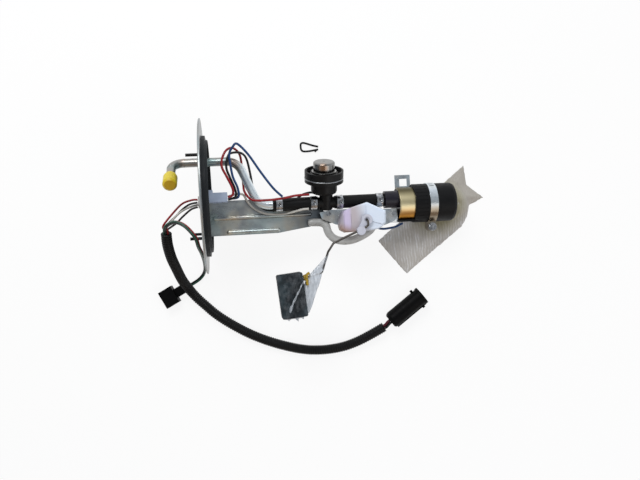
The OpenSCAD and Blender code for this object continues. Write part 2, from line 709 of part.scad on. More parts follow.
sock_dent = [179, 57];
sock_top = [177, 79.5];
sock_edge = [156, 63];
sock_mid = [148, 43];
sock_dome = [166, 34, 0];
module strainer_sock() {
    color("#b5b0a8") difference() {
        union() {
            bench() pad([sock_left, sock_low, sock_right, sock_fold, sock_dent, sock_edge], sock_h, 0.84);
            bench() pad([sock_fold, sock_tip, sock_dent, sock_mid], sock_h - 2, 0.7);
            bench() pad([sock_dent, sock_top, sock_edge, sock_mid], sock_h - 1, 0.7);
            hull() {
                laid() rod(pump_end + 0.5, pump_end + 2, pump_y, pump_z - 3, 13, $fn = 32);
                laid() rod(pump_end + 14, pump_end + 15, pump_y, pump_z - 9, 7, $fn = 32);
                bench() translate(sock_dome) cylinder(h = 2, r = sleeve_r - 5, $fn = 32);
            }
        }
        laid() rod(pump_end - 2, pump_end + 0.3 + collar_len, pump_y, inlet_z, inlet_r + 2.5);
        laid() translate([pump_end + 5, pump_y, inlet_z - 11]) cylinder(h = 11, r = 4.5);
        laid() rod(pump_x, sleeve_end + gap, pump_y, pump_z, sleeve_r + 0.2);
    }
}

// Level sender: housing over the resistor card, hub and wiper on one shaft
roof_z = sender_z + sender_h;
over_z = line_z + hose_r + 0.5;
arm_z = roof_z + 5.3;
hub_r = 3;
sender_edge = [[-30.4, -4.3], [-28.3, 3.3], [-24.5, 10.9], [-15.3, 14.8], [-6.2, 17.2], [1.8, 19.5],
    [9.5, 15.8], [16.1, 11.1], [22.6, 9.1], [22.1, -3.7], [18.4, -8], [13.7, -10.8], [-1.1, -12.5],
    [-13.5, -12.4], [-23.6, -12.9], [-29, -9.9]];
module at_pivot(z) { translate([pivot_x, pivot_y, z]) children(); }
module sender_outline(x = 1, y = 1) { scale([x, y]) polygon(sender_edge); }
module sender_housing() {
    low_h = over_z - sender_z + 0.5;
    color("#e6e2ea") laid() difference() {
        union() {
            intersection() {
                at_pivot(sender_z) linear_extrude(low_h) sender_outline();
                slab([pivot_x - 40, pivot_y - 20, sender_z], [pivot_x + 40, plate_top, roof_z]);
            }
            at_pivot(over_z) linear_extrude(roof_z - over_z - 1.5) sender_outline();
            hull() {
                at_pivot(roof_z - 1.7) linear_extrude(0.2) sender_outline();
                at_pivot(roof_z - 0.2) linear_extrude(0.2) sender_outline(0.94, 0.9);
            }
            at_pivot(roof_z - 1) linear_extrude(2.2) polygon([
                [0.4, 0.7], [10.3, -3.2], [17.8, -5.6], [20.2, -3.2], [20.7, 7.4], [14.8, 9.2],
                [8.6, 13.4], [1.6, 16.6], [0.4, 16.2]]);
        }
        at_pivot(sender_z - 1) linear_extrude(sender_h - 3) polygon([
            [-25, 6.5], [-20, 9.5], [-12, 11.4], [10, 11.4], [17, 7.5], [19.5, 4.5], [19.5, -4],
            [14, -8.5], [-22, -9.5], [-26, -6], [-26, -1]]);
        at_pivot(sender_z) cylinder(h = 20, r = hub_r + slip);
        for (x = [-25.3, -17.5]) at_pivot(roof_z - 0.5) slab([x, -9, 0], [x + 0.8, 7, 2]);
        translate([stand_offs[1][0], stand_offs[1][1], sender_z - 1]) cylinder(h = 2.4, r = 3.4);
    }
}
module sender_card() {
    color("#e8e8e0") laid() difference() {
        at_pivot(sender_z) linear_extrude(0.8) polygon([
            [-17.5, 9.4], [12, 9.4], [12, -7], [-17.5, -7]]);
        for (k = [0:9]) at_pivot(sender_z + 0.55) rotate([0, 0, 117 + 9 * k])
            slab([7.5, -0.3, 0], [9.2, 0.3, 1]);
    }
}
snap = [-7.6, -11.9];
module arm_hub() {
    hub_z = roof_z + 1.6;
    color("#f0f0ee") laid() difference() {
        union() {
            at_pivot(sender_z + 3) cylinder(h = sender_h, r = hub_r);
            at_pivot(hub_z) cylinder(h = 2.2, r = 6);
            at_pivot(hub_z) linear_extrude(2.2) polygon([
                [-4, 2.6], [4, -2.6], snap + [3.4, -2.2], snap + [-3.4, 2.2]]);
            at_pivot(hub_z) translate(snap) cylinder(h = 5.8, r = 4.8);
        }
        at_pivot(roof_z - 6) cylinder(h = 12, r = arm_d / 2 + slip);
        at_pivot(roof_z + 2) cylinder(h = 2.2, r1 = arm_d / 2 + slip, r2 = arm_d / 2 + 2.4);
        at_pivot(arm_z) translate(snap + [0, 1]) rotate([0, 0, 21.7]) rod(-9, 9, 0, 0, arm_d / 2 + 0.15);
    }
}
module wiper() {
    color("#c9a24a") laid() at_pivot(0) rotate([0, 0, 132]) {
        translate([0, 0, sender_z + 2.2]) difference() {
            cylinder(h = 0.8, r = 4);
            translate([0, 0, -1]) cylinder(h = 3, r = 1);
        }
        slab([3, -1.5, sender_z + 2.2], [9.5, 1.5, sender_z + 2.8]);
        slab([7.5, -1.5, sender_z + 1], [9.5, 1.5, sender_z + 2.8]);
    }
}
float_x = pivot_x - arm_reach;
float_y = pivot_y - arm_fall;
float_z = arm_z - 3;
float_turn = 5;
// The wire from the pivot over the snap boss, then in shares of the reach to the float
tie_at = [-0.813, -0.78, -1.8];
arm_route = [for (p = concat([[0, 0, -5], [0, 0, -2.5], [0.4, -1.9, 0], [0.8, -6.1, 0],
    [-3.2, -9.15, 0], [-10.7, -12.1, 0]],
    [for (q = [[-0.286, -0.229, 0], [-0.448, -0.308, 0], [-0.522, -0.424, 0], [-0.611, -0.695, 0],
        [-0.66, -0.736, -0.5], [-0.744, -0.753, -1.2], tie_at, [-1.05, -0.873, -4]])
        [q[0] * arm_reach, q[1] * arm_fall, q[2]]])) p + [pivot_x, pivot_y, arm_z]];
module float_arm() {
    color("#4c4a48") laid() swept(arm_route, arm_d / 2, 10);
}
module float_box(grow) {
    translate([float_x, float_y, float_z]) rotate([0, 0, float_turn]) hull()
        for (x = [-1, 1], y = [-1, 1], z = [-1, 1])
            translate([x * (float_w / 2 - 2), y * (float_l / 2 - 2), z * (float_h / 2 - 2)])
                sphere(2 + grow, $fn = 16);
}
function toward(a, b, far) = b + unit(b - a) * far;
module arm_hole(r, from, to) {
    v = to - from;
    translate(from) rotate([0, acos(v[2] / norm(v)), atan2(v[1], v[0])]) cylinder(h = norm(v), r = r);
}
module float() {
    color("#3a3d42") laid() difference() {
        float_box(0);
        arm_hole(arm_d / 2 + 0.15, arm_route[11], toward(arm_route[12], arm_route[13], 1));
    }
}
// The film round the float, gathered up the wire beyond the tie
module knob(p, r) { translate(p) sphere(r, $fn = 16); }
module bag_form(t) {
    hull() {
        float_box(1.8 - t);
        knob(arm_route[8] + [0, -3, 0.5], 2.6 - t);
        knob([float_x + 0.32 * arm_reach, float_y + 6, float_z + 1], 4 - t);
        knob([float_x + 3, float_y - float_l / 2 - 3, float_z], 3 - t);
    }
}
module float_bag() {
    color("#dfe6ea") laid() difference() {
        bag_form(0);
        bag_form(0.6);
        arm_hole(arm_d / 2 + 0.5, toward(arm_route[9], arm_route[8], 1.5), arm_route[9]);
    }
}
module bag_tie() {
    from = toward(arm_route[11], arm_route[12], -1.6);
    color("#e0c020") laid() difference() {
        union() {
            arm_hole(3.4, from, toward(arm_route[11], arm_route[12], 2));
            translate(from + [0, 0, 1.7]) for (a = [85, 130, 270]) rotate([0, 0, a])
                slab([0, -1.2, 0], [7, 1.2, 1.4]);
        }
        arm_hole(arm_d / 2 + 0.1, toward(arm_route[11], arm_route[12], -7), arm_route[13]);
    }
}

// Clear nylon return tube, looped under the sender
return_route = [[112.6, -33.3, -18.8], [122.1, -33.5, -18.4], [128.7, -34.5, -17.5], [132.8, -38, -16.4],
    [133.9, -42.8, -15.6], [136, -47.7, -15], [140, -52.1, -15], [145.5, -55, -15], [153.2, -56.1, -15],
    [160.9, -55.6, -15.4], [168.6, -53.4, -16], [176.5, -49.9, -16.8], [183.5, -45.5, -17.6],
    [186.7, -40.9, -18]];
module return_tube() {
    color("#bcbcb8") laid() swept(smooth(return_route), 4.5, 12);
}

// Wires inside the flange, from the white plug round the tube to the sender and pump
red_route = [[25, -2, 5], [30, 0, 5], [30.5, 7, 5], [24.5, 21, 5], [20.5, 30, 4], [20.5, 38, 3],
    [25, 48, 1], [32, 52.5, -6], [38.5, 49, -14], [41.5, 42, -22], [42.3, 24, -21.5],
    [42.6, 13, -19], [43.6, 4, -13], [50, -5, -3.4], [62, -7, -1], [82, -6, -0.5], [99, -3.3, -1.6], [114, -2.8, -2.8]];
black_route = [[25, -4.5, 1], [33.5, -1.5, 1], [33, 7, 1], [28.5, 19, 0.5], [25, 31, -0.5], [28, 44, -2],
    [35, 47.5, -8], [43, 47, -15], [48, 41, -22], [51.2, 24, -22], [54, 2, -21], [59, -10, -20.8],
    [66, -16, -21.5], [76, -17, -21.8], [90, -14, -21.6], [99.5, -7.5, -19.8], [106, -2.6, -15.8],
    [112, -0.5, -12.6], [118.3, 0, -12], [124, -2.2, -13]];
blue_route = [[25, -3, -4], [36, -2, -3], [36, 8, -2], [31.5, 20, 0], [29.5, 34, 0], [29, 45, 1],
    [33, 52, 4], [38, 55, 5], [49, 43.5, 4], [61.5, 24, 3], [74, 6, 3], [84, -4.2, 2.6]];
white_route = [[25, -0.5, -8], [35, 2, -10], [42, 1, -14], [46, -6, -19], [53, -14, -20.2],
    [65, -20.5, -19.8], [80, -22.2, -17.5], [91, -21.6, -13], [99, -20.2, -8.6], [106, -18.7, -6],
    [113, -18.4, -5.5]];
module inside_wire(route, tint) { color(tint) laid() swept(smooth(route), wire_d / 2, 8); }
module wire_red() { inside_wire(red_route, "#a01820"); }
module wire_black() { inside_wire(black_route, "#101010"); }
module wire_blue() { inside_wire(blue_route, "#243c78"); }
module wire_white() { inside_wire(white_route, "#d8d8d4"); }
// A short blue wire from the sender's plate down to the pump's foot
short_route = [[193, -37, -13.2], [193, -39.5, -19], [194.5, -43.5, -23.5], [200, -44.8, -23.5],
    [206, -44.5, -23.5], [214.5, -43.2, -23], [219.6, -40.9, -22.5], [223, -39.6, -22.5]];
module wire_short() { inside_wire(short_route, "#3a63a8"); }

// Hairpin clip that lies loose on the bench
clip_r = 1.2;
clip_route = [for (p = [[4, 112], [-3, 114], [-9, 116.2], [-14, 117.6], [-16.6, 116.4], [-17, 113],
    [-16.4, 109.4], [-14, 107.4], [-8, 107.2], [-1, 108], [3.8, 108.8]]) [p[0], p[1], clip_r]];
module loose_clip() {
    color("#0c0c0c") bench() {
        swept(clip_route, clip_r);
        translate([3.4, 108.7, 0]) rotate([0, 0, 214]) slab([0.4, -0.8, 0.3], [4.6, 0.8, 2.1]);
    }
}

// Harness outside the flange, lying on the bench; its mouth is where the wires enter
loom_route = [[-164, 16, 88], [-165, 4, 80], [-165, -10, 66], [-164, -23, 48], [-162, -37, 30],
    [-158, -48, 16.5], [-151, -59, 9.5], [-141, -70, 6.2], [-127, -83, 6], [-107, -97, 6],
    [-84, -110, 6], [-57, -121, 6], [-28, -129, 6], [-4, -131, 6], [18, -129, 6], [36, -124, 6],
    [53, -116.5, 7], [70, -107.5, 9.5]];
mouth_out = unit([1, 12, 8]);
mouth_side = [1, 0, 0];
mouth_up = unit(cross(mouth_side, mouth_out));
function mouth(a, b, far) = loom_route[0] + a * mouth_side + b * mouth_up + far * mouth_out;
module lead(route, tint, width = lead_d) { color(tint) bench() swept(route, width / 2); }
module harness_loom() { color("#141416") bench() swept(loom_route, loom_d / 2, 12); }
pitch = 2.35;
function berth(angle, far) = mouth(pitch * cos(angle), pitch * sin(angle), far);
lead_red_route = [[-128.9, 50.5, 85], [-135, 50.4, 86], [-145, 47, 88], [-154.5, 38, 90],
    berth(210, 10), berth(210, 4), berth(210, 0.1)];
lead_black_route = [[-128.9, 47.4, 87], [-137, 46, 87.2], [-145, 41.5, 86.2], [-153, 34, 87],
    [-162.6, 25, 89.2], berth(270, 4.5), berth(270, 0.1)];
lead_white_route = [[-128.9, 45.2, 83.6], [-136, 43.6, 85], [-146, 38.8, 89.2], [-154.8, 31, 91.2],
    mouth(0, 0, 6.5), mouth(0, 0, 4), mouth(0, 0, 0.1)];
lead_brown_route = [[-128.9, 42.6, 86.5], [-136, 40.4, 87.5], [-145, 33.4, 88], [-152.5, 26.4, 88.6],
    berth(330, 4.5), berth(330, 2), berth(330, 0.1)];
module lead_red() { lead(lead_red_route, "#8c1a1c"); }
module lead_black() { lead(lead_black_route, "#101010"); }
module lead_white() { lead(lead_white_route, "#c8c8c8"); }
module lead_brown() { lead(lead_brown_route, "#1c1414"); }

// Three wires side by side drape over the lower stud and down to the small plug
plug_d = 2;
plug_way = smooth([mouth(0, 3.2, 9), [-157.5, 25.5, 101.5], [-149.3, 27, 111], [-140.5, 24.3, 119.5],
    [-131.8, 18.4, 131], [-124.6, 9, 132.6], [-123.4, -0.6, 124], [-124.6, -7.4, 102], [-129, -15.5, 65],
    [-134.4, -23.2, 30], [-138, -28.5, 12], [-142, -34, 3.4], [-148, -39.7, 2.4], [-158, -45.3, 3],
    [-164.81, -48.33, 3.6]]);
plug_side = carried(plug_way, unit(first_side(heading(plug_way, 0))));
function strand(turn) = [for (i = [0:len(plug_way) - 1])
    plug_way[i] + 1.25 * (cos(turn) * plug_side[i]
        + sin(turn) * cross(heading(plug_way, i), plug_side[i]))];
function plug_wire(angle, turn) = concat([berth(angle, 0.1), berth(angle, 3)], strand(turn));
module plug_green() { lead(plug_wire(150, plug_turn + 60), "#1c5040", plug_d); }
module plug_red() { lead(plug_wire(30, plug_turn - 60), "#7a2024", plug_d); }
module plug_black() { lead(plug_wire(90, plug_turn + 180), "#101010", plug_d); }
plug_turn = 150;
t_at = [-183, -58, 0];
t_turn = 28;
module t_plug() {
    color("#141414") bench() translate(t_at) rotate([0, 0, t_turn]) difference() {
        union() {
            slab([-8.5, -10.7, 0], [8.5, 10.7, 12]);
            slab([8.5, -5.5, 0], [20.5, 5.5, 8]);
        }
        slab([-9.5, -8.2, 2], [2, 8.2, 10]);
    }
}

// Round bulkhead connector on the loom's end
conn_at = [78, -101, 0];
conn_turn = 36.6;
conn_r = conn_d / 2;
module at_connector() {
    bench() translate(conn_at) rotate([0, 0, conn_turn]) translate([0, 0, conn_r + 0.8]) children();
}
module round_connector() {
    color("#161718") at_connector() difference() {
        union() {
            rotate([0, 90, 0]) rotate_extrude() polygon([
                [0, 0], [conn_r - 2.5, 0], [conn_r - 1, 1.5], [conn_r, 4], [conn_r, conn_l - 3],
                [conn_r + 0.8, conn_l - 3], [conn_r + 0.8, conn_l], [0, conn_l]]);
            for (s = [-1, 1]) slab([conn_l - 9, min(s * (conn_r + 2.6), 0), -1.5],
                [conn_l - 6, max(s * (conn_r + 2.6), 0), 1.5]);
            slab([3, -conn_r - 0.9, -2], [conn_l - 3, 0, 2]);
        }
        rod(conn_l - 18, conn_l + 1, 0, 0, conn_r - 1.8);
    }
    color("#c0a050") at_connector() for (a = [45:90:315])
        rotate([a, 0, 0]) rod(conn_l - 18.5, conn_l - 10, 4, 0, 0.9);
}
module connector_tails() {
    last = len(loom_route) - 1;
    out = unit(loom_route[last] - loom_route[last - 1]);
    side = unit(cross([0, 0, 1], out));
    back = [conn_at[0], conn_at[1], conn_r + 0.8];
    nose = [cos(conn_turn), sin(conn_turn), 0];
    across = [-sin(conn_turn), cos(conn_turn), 0];
    color("#6a1c20") bench() for (s = [-1.7, 1.7])
        swept([loom_route[last] + 0.1 * out + s * side, loom_route[last] + 3 * out + s * side,
            back - 3 * nose + s * across, back - 0.1 * nose + s * across], 1.3);
}

flange_plate();
flange_gasket();
studs();
outlet_tube();
outlet_cap();
pass_through();
inner_plug();
hanger();
hanger_rivets();
pump_carrier();
lower_hose();
upper_hose();
hose_clamps();
regulator_tee();
regulator_can();
regulator_seal();
retainer_ring();
regulator_valve();
regulator_spring();
pump_case();
pump_head();
check_valve();
check_spring();
pump_magnets();
pump_brushes();
armature();
impeller();
pump_chamber();
pump_inlet();
pump_sleeve();
band_clamp();
band_screw();
strainer_collar();
strainer_sock();
sender_housing();
sender_card();
arm_hub();
wiper();
float_arm();
float();
float_bag();
bag_tie();
return_tube();
wire_red();
wire_black();
wire_blue();
wire_white();
wire_short();
loose_clip();
lead_red();
lead_black();
lead_white();
lead_brown();
harness_loom();
round_connector();
connector_tails();
plug_green();
plug_red();
plug_black();
t_plug();
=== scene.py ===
"""Looks for the in-tank fuel pump module as it lies on a bench, seen from straight above."""

import math

import bmesh
import bpy
from mathutils import Matrix, Vector, geometry, noise


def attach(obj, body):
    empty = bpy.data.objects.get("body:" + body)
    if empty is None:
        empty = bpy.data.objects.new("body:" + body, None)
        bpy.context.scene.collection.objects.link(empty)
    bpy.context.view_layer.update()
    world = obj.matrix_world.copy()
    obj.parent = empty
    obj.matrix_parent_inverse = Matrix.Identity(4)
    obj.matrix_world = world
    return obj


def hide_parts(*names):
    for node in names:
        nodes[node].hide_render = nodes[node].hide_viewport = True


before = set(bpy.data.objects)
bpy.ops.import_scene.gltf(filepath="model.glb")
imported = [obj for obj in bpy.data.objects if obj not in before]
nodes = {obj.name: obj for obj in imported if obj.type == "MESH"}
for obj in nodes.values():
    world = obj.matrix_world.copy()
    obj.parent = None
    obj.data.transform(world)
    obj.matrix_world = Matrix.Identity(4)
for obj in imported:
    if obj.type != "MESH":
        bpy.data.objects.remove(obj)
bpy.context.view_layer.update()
scene = bpy.context.scene
MM = 0.001

# Where the part lies: the same figures as the solids are built from, in mm
MIDDLE = Vector((18.86, 24.38, 0))
FLANGE_AXIS = Vector((-121.8, 53.6, 0))
FLANGE_R = 83.5
SLEEVE_LOW, SLEEVE_END = 39.0, 281.5
SOCK_TOP = 7.8
rest_up = FLANGE_R - SLEEVE_LOW
TILT = math.acos(SOCK_TOP / math.hypot(rest_up, SLEEVE_END)) - math.atan2(SLEEVE_END, rest_up)
LAY = Matrix.Rotation(TILT, 3, "Y")


def bench(x, y, z=0.0):
    """A point on or over the bench, in mm from the camera's foot, as a point of the row frame."""
    return (Vector((x, y, z)) - MIDDLE) * MM


def laid(x, y, z):
    """A point given along the flange axis, in mm, as a point of the row frame."""
    hub = FLANGE_AXIS + Vector((0, 0, FLANGE_R * math.cos(TILT)))
    return bench(*(hub + LAY @ Vector((x, y, z))))


# Camera: straight over the bench, turned a little against the part's axes
CAMERA_UP, CAMERA_TURN = 800, -3.2
FOCAL_PX, FRAME_PX, SENSOR_MM = 665, 640, 36
camera_data = bpy.data.cameras.new("overhead")
camera_data.sensor_width = SENSOR_MM
camera_data.lens = SENSOR_MM * FOCAL_PX / FRAME_PX
camera = bpy.data.objects.new("overhead", camera_data)
scene.collection.objects.link(camera)
camera.location = bench(0, 0, CAMERA_UP)
camera.rotation_euler = (0, 0, math.radians(CAMERA_TURN))
scene.camera = camera


# ---- finishes ----------------------------------------------------------------------------

# Where in its noise a stain begins and is whole, how much of the tint it takes, and how far apart
# in the noise's fourth direction two stains of one finish lie
STAIN_FROM, STAIN_WHOLE, STAIN_SHARE, STAIN_APART = 0.46, 0.64, 0.75, 3.7
# How much of the tint a single patch takes
PATCH_SHARE = 0.85
# Scattering depth of natural acetal, in metres
ACETAL_DEPTH = (0.002, 0.002, 0.002)
# The period of a wave texture at scale 1, in metres
WAVE = 0.314


def colour(hex_code):
    """An sRGB hex colour as the linear one that the shader wants."""
    parts = [int(hex_code[i:i + 2], 16) / 255 for i in (1, 3, 5)]
    return [c / 12.92 if c <= 0.04045 else ((c + 0.055) / 1.055) ** 2.4 for c in parts] + [1]


def add(tree, kind, inputs=(), **settings):
    """Adds one shader node with its settings, values and links."""
    made = tree.nodes.new("ShaderNode" + kind)
    for name, value in settings.items():
        setattr(made, name, value)
    for name, value in dict(inputs).items():
        if isinstance(value, bpy.types.NodeSocket):
            tree.links.new(value, made.inputs[name])
        else:
            made.inputs[name].default_value = value
    return made


def finish(name, **values):
    """A new material on one Principled shader, with even values on its own sockets."""
    made = bpy.data.materials.new(name)
    made.use_nodes = True
    shader = made.node_tree.nodes["Principled BSDF"]
    for socket, value in values.items():
        shader.inputs[socket.replace("_", " ")].default_value = value
    return made, made.node_tree, shader


def mottled(tree, shader, light, dark, grain_mm, rough, relief, stretch=(1, 1, 1), edge_mm=0.25,
            fine_mm=None, stains=()):
    """Two tints, wide stains, roughness and low relief from noise of a real grain, soft edges."""
    place = add(tree, "TexCoord")
    scaled = add(tree, "Mapping", {"Vector": place.outputs["Object"], "Scale": stretch})
    cloud = add(tree, "TexNoise", {"Vector": scaled.outputs[0], "Scale": 1 / (grain_mm * MM),
                                   "Detail": 4})
    tint = add(tree, "Mix", {"Factor": cloud.outputs["Fac"], 6: colour(dark), 7: colour(light)},
               data_type="RGBA")
    for k, (stain, wide_mm) in enumerate(stains):
        spot = add(tree, "TexNoise", {"Vector": place.outputs["Object"], "W": STAIN_APART * (k + 1),
                                      "Scale": 1 / (wide_mm * MM), "Detail": 2},
                   noise_dimensions="4D")
        share = add(tree, "MapRange", {"Value": spot.outputs["Fac"], "From Min": STAIN_FROM,
                                       "From Max": STAIN_WHOLE, "To Max": STAIN_SHARE})
        tint = add(tree, "Mix", {"Factor": share.outputs[0], 6: tint.outputs[2], 7: colour(stain)},
                   data_type="RGBA")
    spread = add(tree, "MapRange", {"Value": cloud.outputs["Fac"], "From Min": 0.3, "From Max": 0.7,
                                    "To Min": rough[0], "To Max": rough[1]})
    fine = add(tree, "TexNoise", {"Vector": scaled.outputs[0],
                                  "Scale": 1 / ((fine_mm or grain_mm / 4) * MM), "Detail": 3})
    soft = add(tree, "Bevel", {"Radius": edge_mm * MM}, samples=4)
    bump = add(tree, "Bump", {"Height": fine.outputs["Fac"], "Distance": relief * MM,
                              "Strength": 1.0, "Normal": soft.outputs[0]})
    tree.links.new(tint.outputs[2], shader.inputs["Base Color"])
    tree.links.new(spread.outputs[0], shader.inputs["Roughness"])
    tree.links.new(bump.outputs[0], shader.inputs["Normal"])
    return place, tint


def plain_finish(name, light, dark, grain_mm, rough, relief, values=(), **more):
    """A mottled finish that is the same all over its piece."""
    made, tree, shader = finish(name, **dict(values))
    mottled(tree, shader, light, dark, grain_mm, rough, relief, **more)
    return made


def drift(tree, shader, place, tint, start, end, goal):
    """Lets the colour run to another one between two points, given in metres."""
    way = end - start
    at = add(tree, "VectorMath", {0: place.outputs["Object"], 1: start}, operation="SUBTRACT")
    gone = add(tree, "VectorMath", {0: at.outputs[0], 1: way / way.length_squared},
               operation="DOT_PRODUCT")
    held = add(tree, "MapRange", {"Value": gone.outputs["Value"]}, interpolation_type="SMOOTHSTEP")
    run = add(tree, "Mix", {"Factor": held.outputs[0], 6: tint.outputs[2], 7: colour(goal)},
              data_type="RGBA")
    tree.links.new(run.outputs[2], shader.inputs["Base Color"])
    return run


def patch(tree, shader, place, tint, middle, wide_mm, whole_mm, goal):
    """Lets the colour run to another one towards a spot, whole within its inner radius."""
    near = add(tree, "VectorMath", {0: place.outputs["Object"], 1: middle}, operation="DISTANCE")
    held = add(tree, "MapRange", {"Value": near.outputs["Value"], "From Min": wide_mm * MM,
                                  "From Max": whole_mm * MM, "To Max": PATCH_SHARE})
    run = add(tree, "Mix", {"Factor": held.outputs[0], 6: tint.outputs[2], 7: colour(goal)},
              data_type="RGBA")
    tree.links.new(run.outputs[2], shader.inputs["Base Color"])


# Zinc electroplate with drawing streaks and faint rainbow stains: the hanger channel, dull, and
# darker where it meets the carrier, which is painted shade
zinc_hanger, tree, shader = finish("drawn_zinc_hanger", Metallic=1.0)
place, tint = mottled(tree, shader, "#D6D9D7", "#A6ABAB", 9, (0.24, 0.38), 0.02,
                      stretch=(0.2, 1, 1),
                      stains=(("#AFC0BE", 38), ("#CFC2AC", 24), ("#90949A", 16)))
drift(tree, shader, place, tint, laid(84, -20, 0), laid(124, -26, 0), "#6F757A")
# The carrier: a brighter copy of the same zinc, painted light that its upward tab catches
zinc_carrier = plain_finish("bright_painted_zinc_carrier", "#EDF2F5", "#BBC3C9", 7, (0.16, 0.3), 0.02,
                            {"Metallic": 1.0},
                            stains=(("#C2D6E0", 20), ("#D0C6BA", 17), ("#A9AFB4", 9)))
# Flange stamping of the same plate, darker all over as painted shade, and duller
zinc_flange = plain_finish("zinc_plated_flange", "#A8ACAE", "#8A8F92", 14, (0.3, 0.48), 0.02,
                           {"Metallic": 1.0}, stains=(("#99A4A6", 30), ("#A09B94", 24)))
# Steel fuel tube, zinc plated, the passivate thin enough to show blue, pink and straw
tube_plate, tree, shader = finish("passivated_steel_tube", Metallic=1.0)
place, tint = mottled(tree, shader, "#B3B2AE", "#868380", 12, (0.28, 0.42), 0.01,
                      stretch=(0.3, 1, 1),
                      stains=(("#8FA9AA", 20), ("#B09C90", 17), ("#B0A880", 24)))
# a painted highlight: brighter and bluer down the long slope inside
drift(tree, shader, place, tint, laid(34, 0, 0), laid(46, 0, 0), "#E2EBEF")
# Polished heads and crimped ears, bright enough to mirror the room
mirror_steel = plain_finish("polished_steel_heads", "#DDDEDF", "#9C9EA2", 3, (0.06, 0.14), 0.01,
                            {"Metallic": 1.0}, edge_mm=0.4, stains=(("#64666A", 2.4),))
# Stainless strip, rolled bright, darker and warmer where it turns down to its screw: painted shade
# on its lower side
bright_strip, tree, shader = finish("rolled_stainless_strip", Metallic=1.0)
place, tint = mottled(tree, shader, "#E8EEF2", "#C4CCD2", 5, (0.16, 0.28), 0.01)
drift(tree, shader, place, tint, laid(230, -14, 0), laid(230, -28, 0), "#8F8474")
# Drawn and chromed can
chrome, tree, shader = finish("chromed_can", Metallic=1.0)
place, tint = mottled(tree, shader, "#9A9995", "#6C6D6E", 7, (0.12, 0.24), 0.01)
# a painted amber reflection on its side
patch(tree, shader, place, tint, laid(129, 24.5, 13), 6.5, 2, "#9A6A3C")
# Extruded nitrile rubber, satin from the mandrel
rubber = plain_finish("extruded_nitrile_rubber", "#0B0C0E", "#050506", 6, (0.42, 0.6), 0.05,
                      {"IOR": 1.52, "Specular_IOR_Level": 0.16})
# The gasket of the same rubber, lighter and bluish: a painted sheen
sheen_gasket_rubber = plain_finish("sheen_painted_gasket_rubber", "#24282C", "#14171A", 9, (0.45, 0.65), 0.05,
                           {"IOR": 1.52, "Specular_IOR_Level": 0.22})
# Glass filled nylon, moulded black
black_nylon = plain_finish("moulded_black_nylon", "#0A0B0C", "#050505", 4, (0.36, 0.52), 0.05,
                           {"IOR": 1.53, "Specular_IOR_Level": 0.2})
# The connectors' nylon, without glass and duller
connector_nylon = plain_finish("moulded_connector_nylon", "#070708", "#040404", 4, (0.4, 0.56),
                               0.04, {"IOR": 1.53, "Specular_IOR_Level": 0.07})
# The pump's outlet head, moulded acetal with a violet cast
head_acetal = plain_finish("moulded_dark_acetal", "#151322", "#0A0812", 5, (0.3, 0.42), 0.03,
                           {"IOR": 1.48, "Specular_IOR_Level": 0.35})
# Natural acetal, milky and faintly waxy
milky_acetal = plain_finish("moulded_natural_acetal", "#E8EBF4", "#CDCFDC", 11, (0.34, 0.48), 0.03,
                            {"IOR": 1.48, "Subsurface_Weight": 0.12,
                             "Subsurface_Radius": ACETAL_DEPTH, "Subsurface_Scale": 1.0})
# The arm's hub and the plug block: the same acetal, greyer as painted shade, the block with a blue
# cast
hub_acetal = plain_finish("moulded_hub_acetal", "#CDCFDA", "#AEB0BE", 6, (0.34, 0.48), 0.03,
                          {"IOR": 1.48})
block_acetal = plain_finish("moulded_block_acetal", "#B4C0D4", "#8E9CB4", 6, (0.34, 0.48), 0.03,
                            {"IOR": 1.48})
# The level sender's housing of the same acetal, with painted light and shade: grey and lilac at its
# left, a greyer band of painted shade, pale and bluish on its raised right block as painted light,
# and brown along its lower edge
sender_acetal, tree, shader = finish("moulded_sender_acetal", IOR=1.48, Subsurface_Weight=0.12,
                                     Subsurface_Radius=ACETAL_DEPTH, Subsurface_Scale=1.0)
place, tint = mottled(tree, shader, "#B3AEB8", "#948D9A", 6, (0.34, 0.48), 0.03)
tint = drift(tree, shader, place, tint, laid(148.4, -34, 0), laid(151.6, -34, 0), "#C9BEDA")
# a greyer band: painted shade
tint = drift(tree, shader, place, tint, laid(156, -34, 0), laid(159.8, -34, 0), "#B9B0B5")
# pale and bluish on the raised right block: painted light
tint = drift(tree, shader, place, tint, laid(163, -34, 0), laid(181, -30, 0), "#D8E2F0")
drift(tree, shader, place, tint, laid(166, -41, 0), laid(162, -51, 0), "#A08478")
# Grommet outside the flange, filled polyester
grey_polyester = plain_finish("moulded_grey_polyester", "#B9B6B2", "#8D8A87", 5, (0.35, 0.5), 0.03,
                              {"IOR": 1.57})
# Dipped vinyl cap, soft and satin, its closed end darker
yellow_vinyl, tree, shader = finish("dipped_yellow_vinyl", IOR=1.54, Specular_IOR_Level=0.4)
place, tint = mottled(tree, shader, "#DCCB26", "#BFA212", 5, (0.34, 0.5), 0.03)
drift(tree, shader, place, tint, laid(-33.5, 12.2, 28.3), laid(-33.5, 10.5, 30.9), "#B98A06")
# Paper and wire twist tie, mustard
tie_paper = plain_finish("twist_tie_paper", "#B99A22", "#84690E", 2, (0.5, 0.7), 0.15, {"IOR": 1.5})
# Closed cell nitrile foam with a dull skin
float_foam = plain_finish("closed_cell_float_foam", "#1C2328", "#0C1013", 5, (0.6, 0.85), 0.2,
                          {"IOR": 1.45, "Specular_IOR_Level": 0.3}, fine_mm=0.6,
                          stains=(("#2C393F", 14),))
# Hard drawn arm wire, dull
arm_wire = plain_finish("hard_drawn_steel_wire", "#5F5B58", "#383532", 4, (0.3, 0.45), 0.02,
                        {"Metallic": 1.0}, fine_mm=0.4)
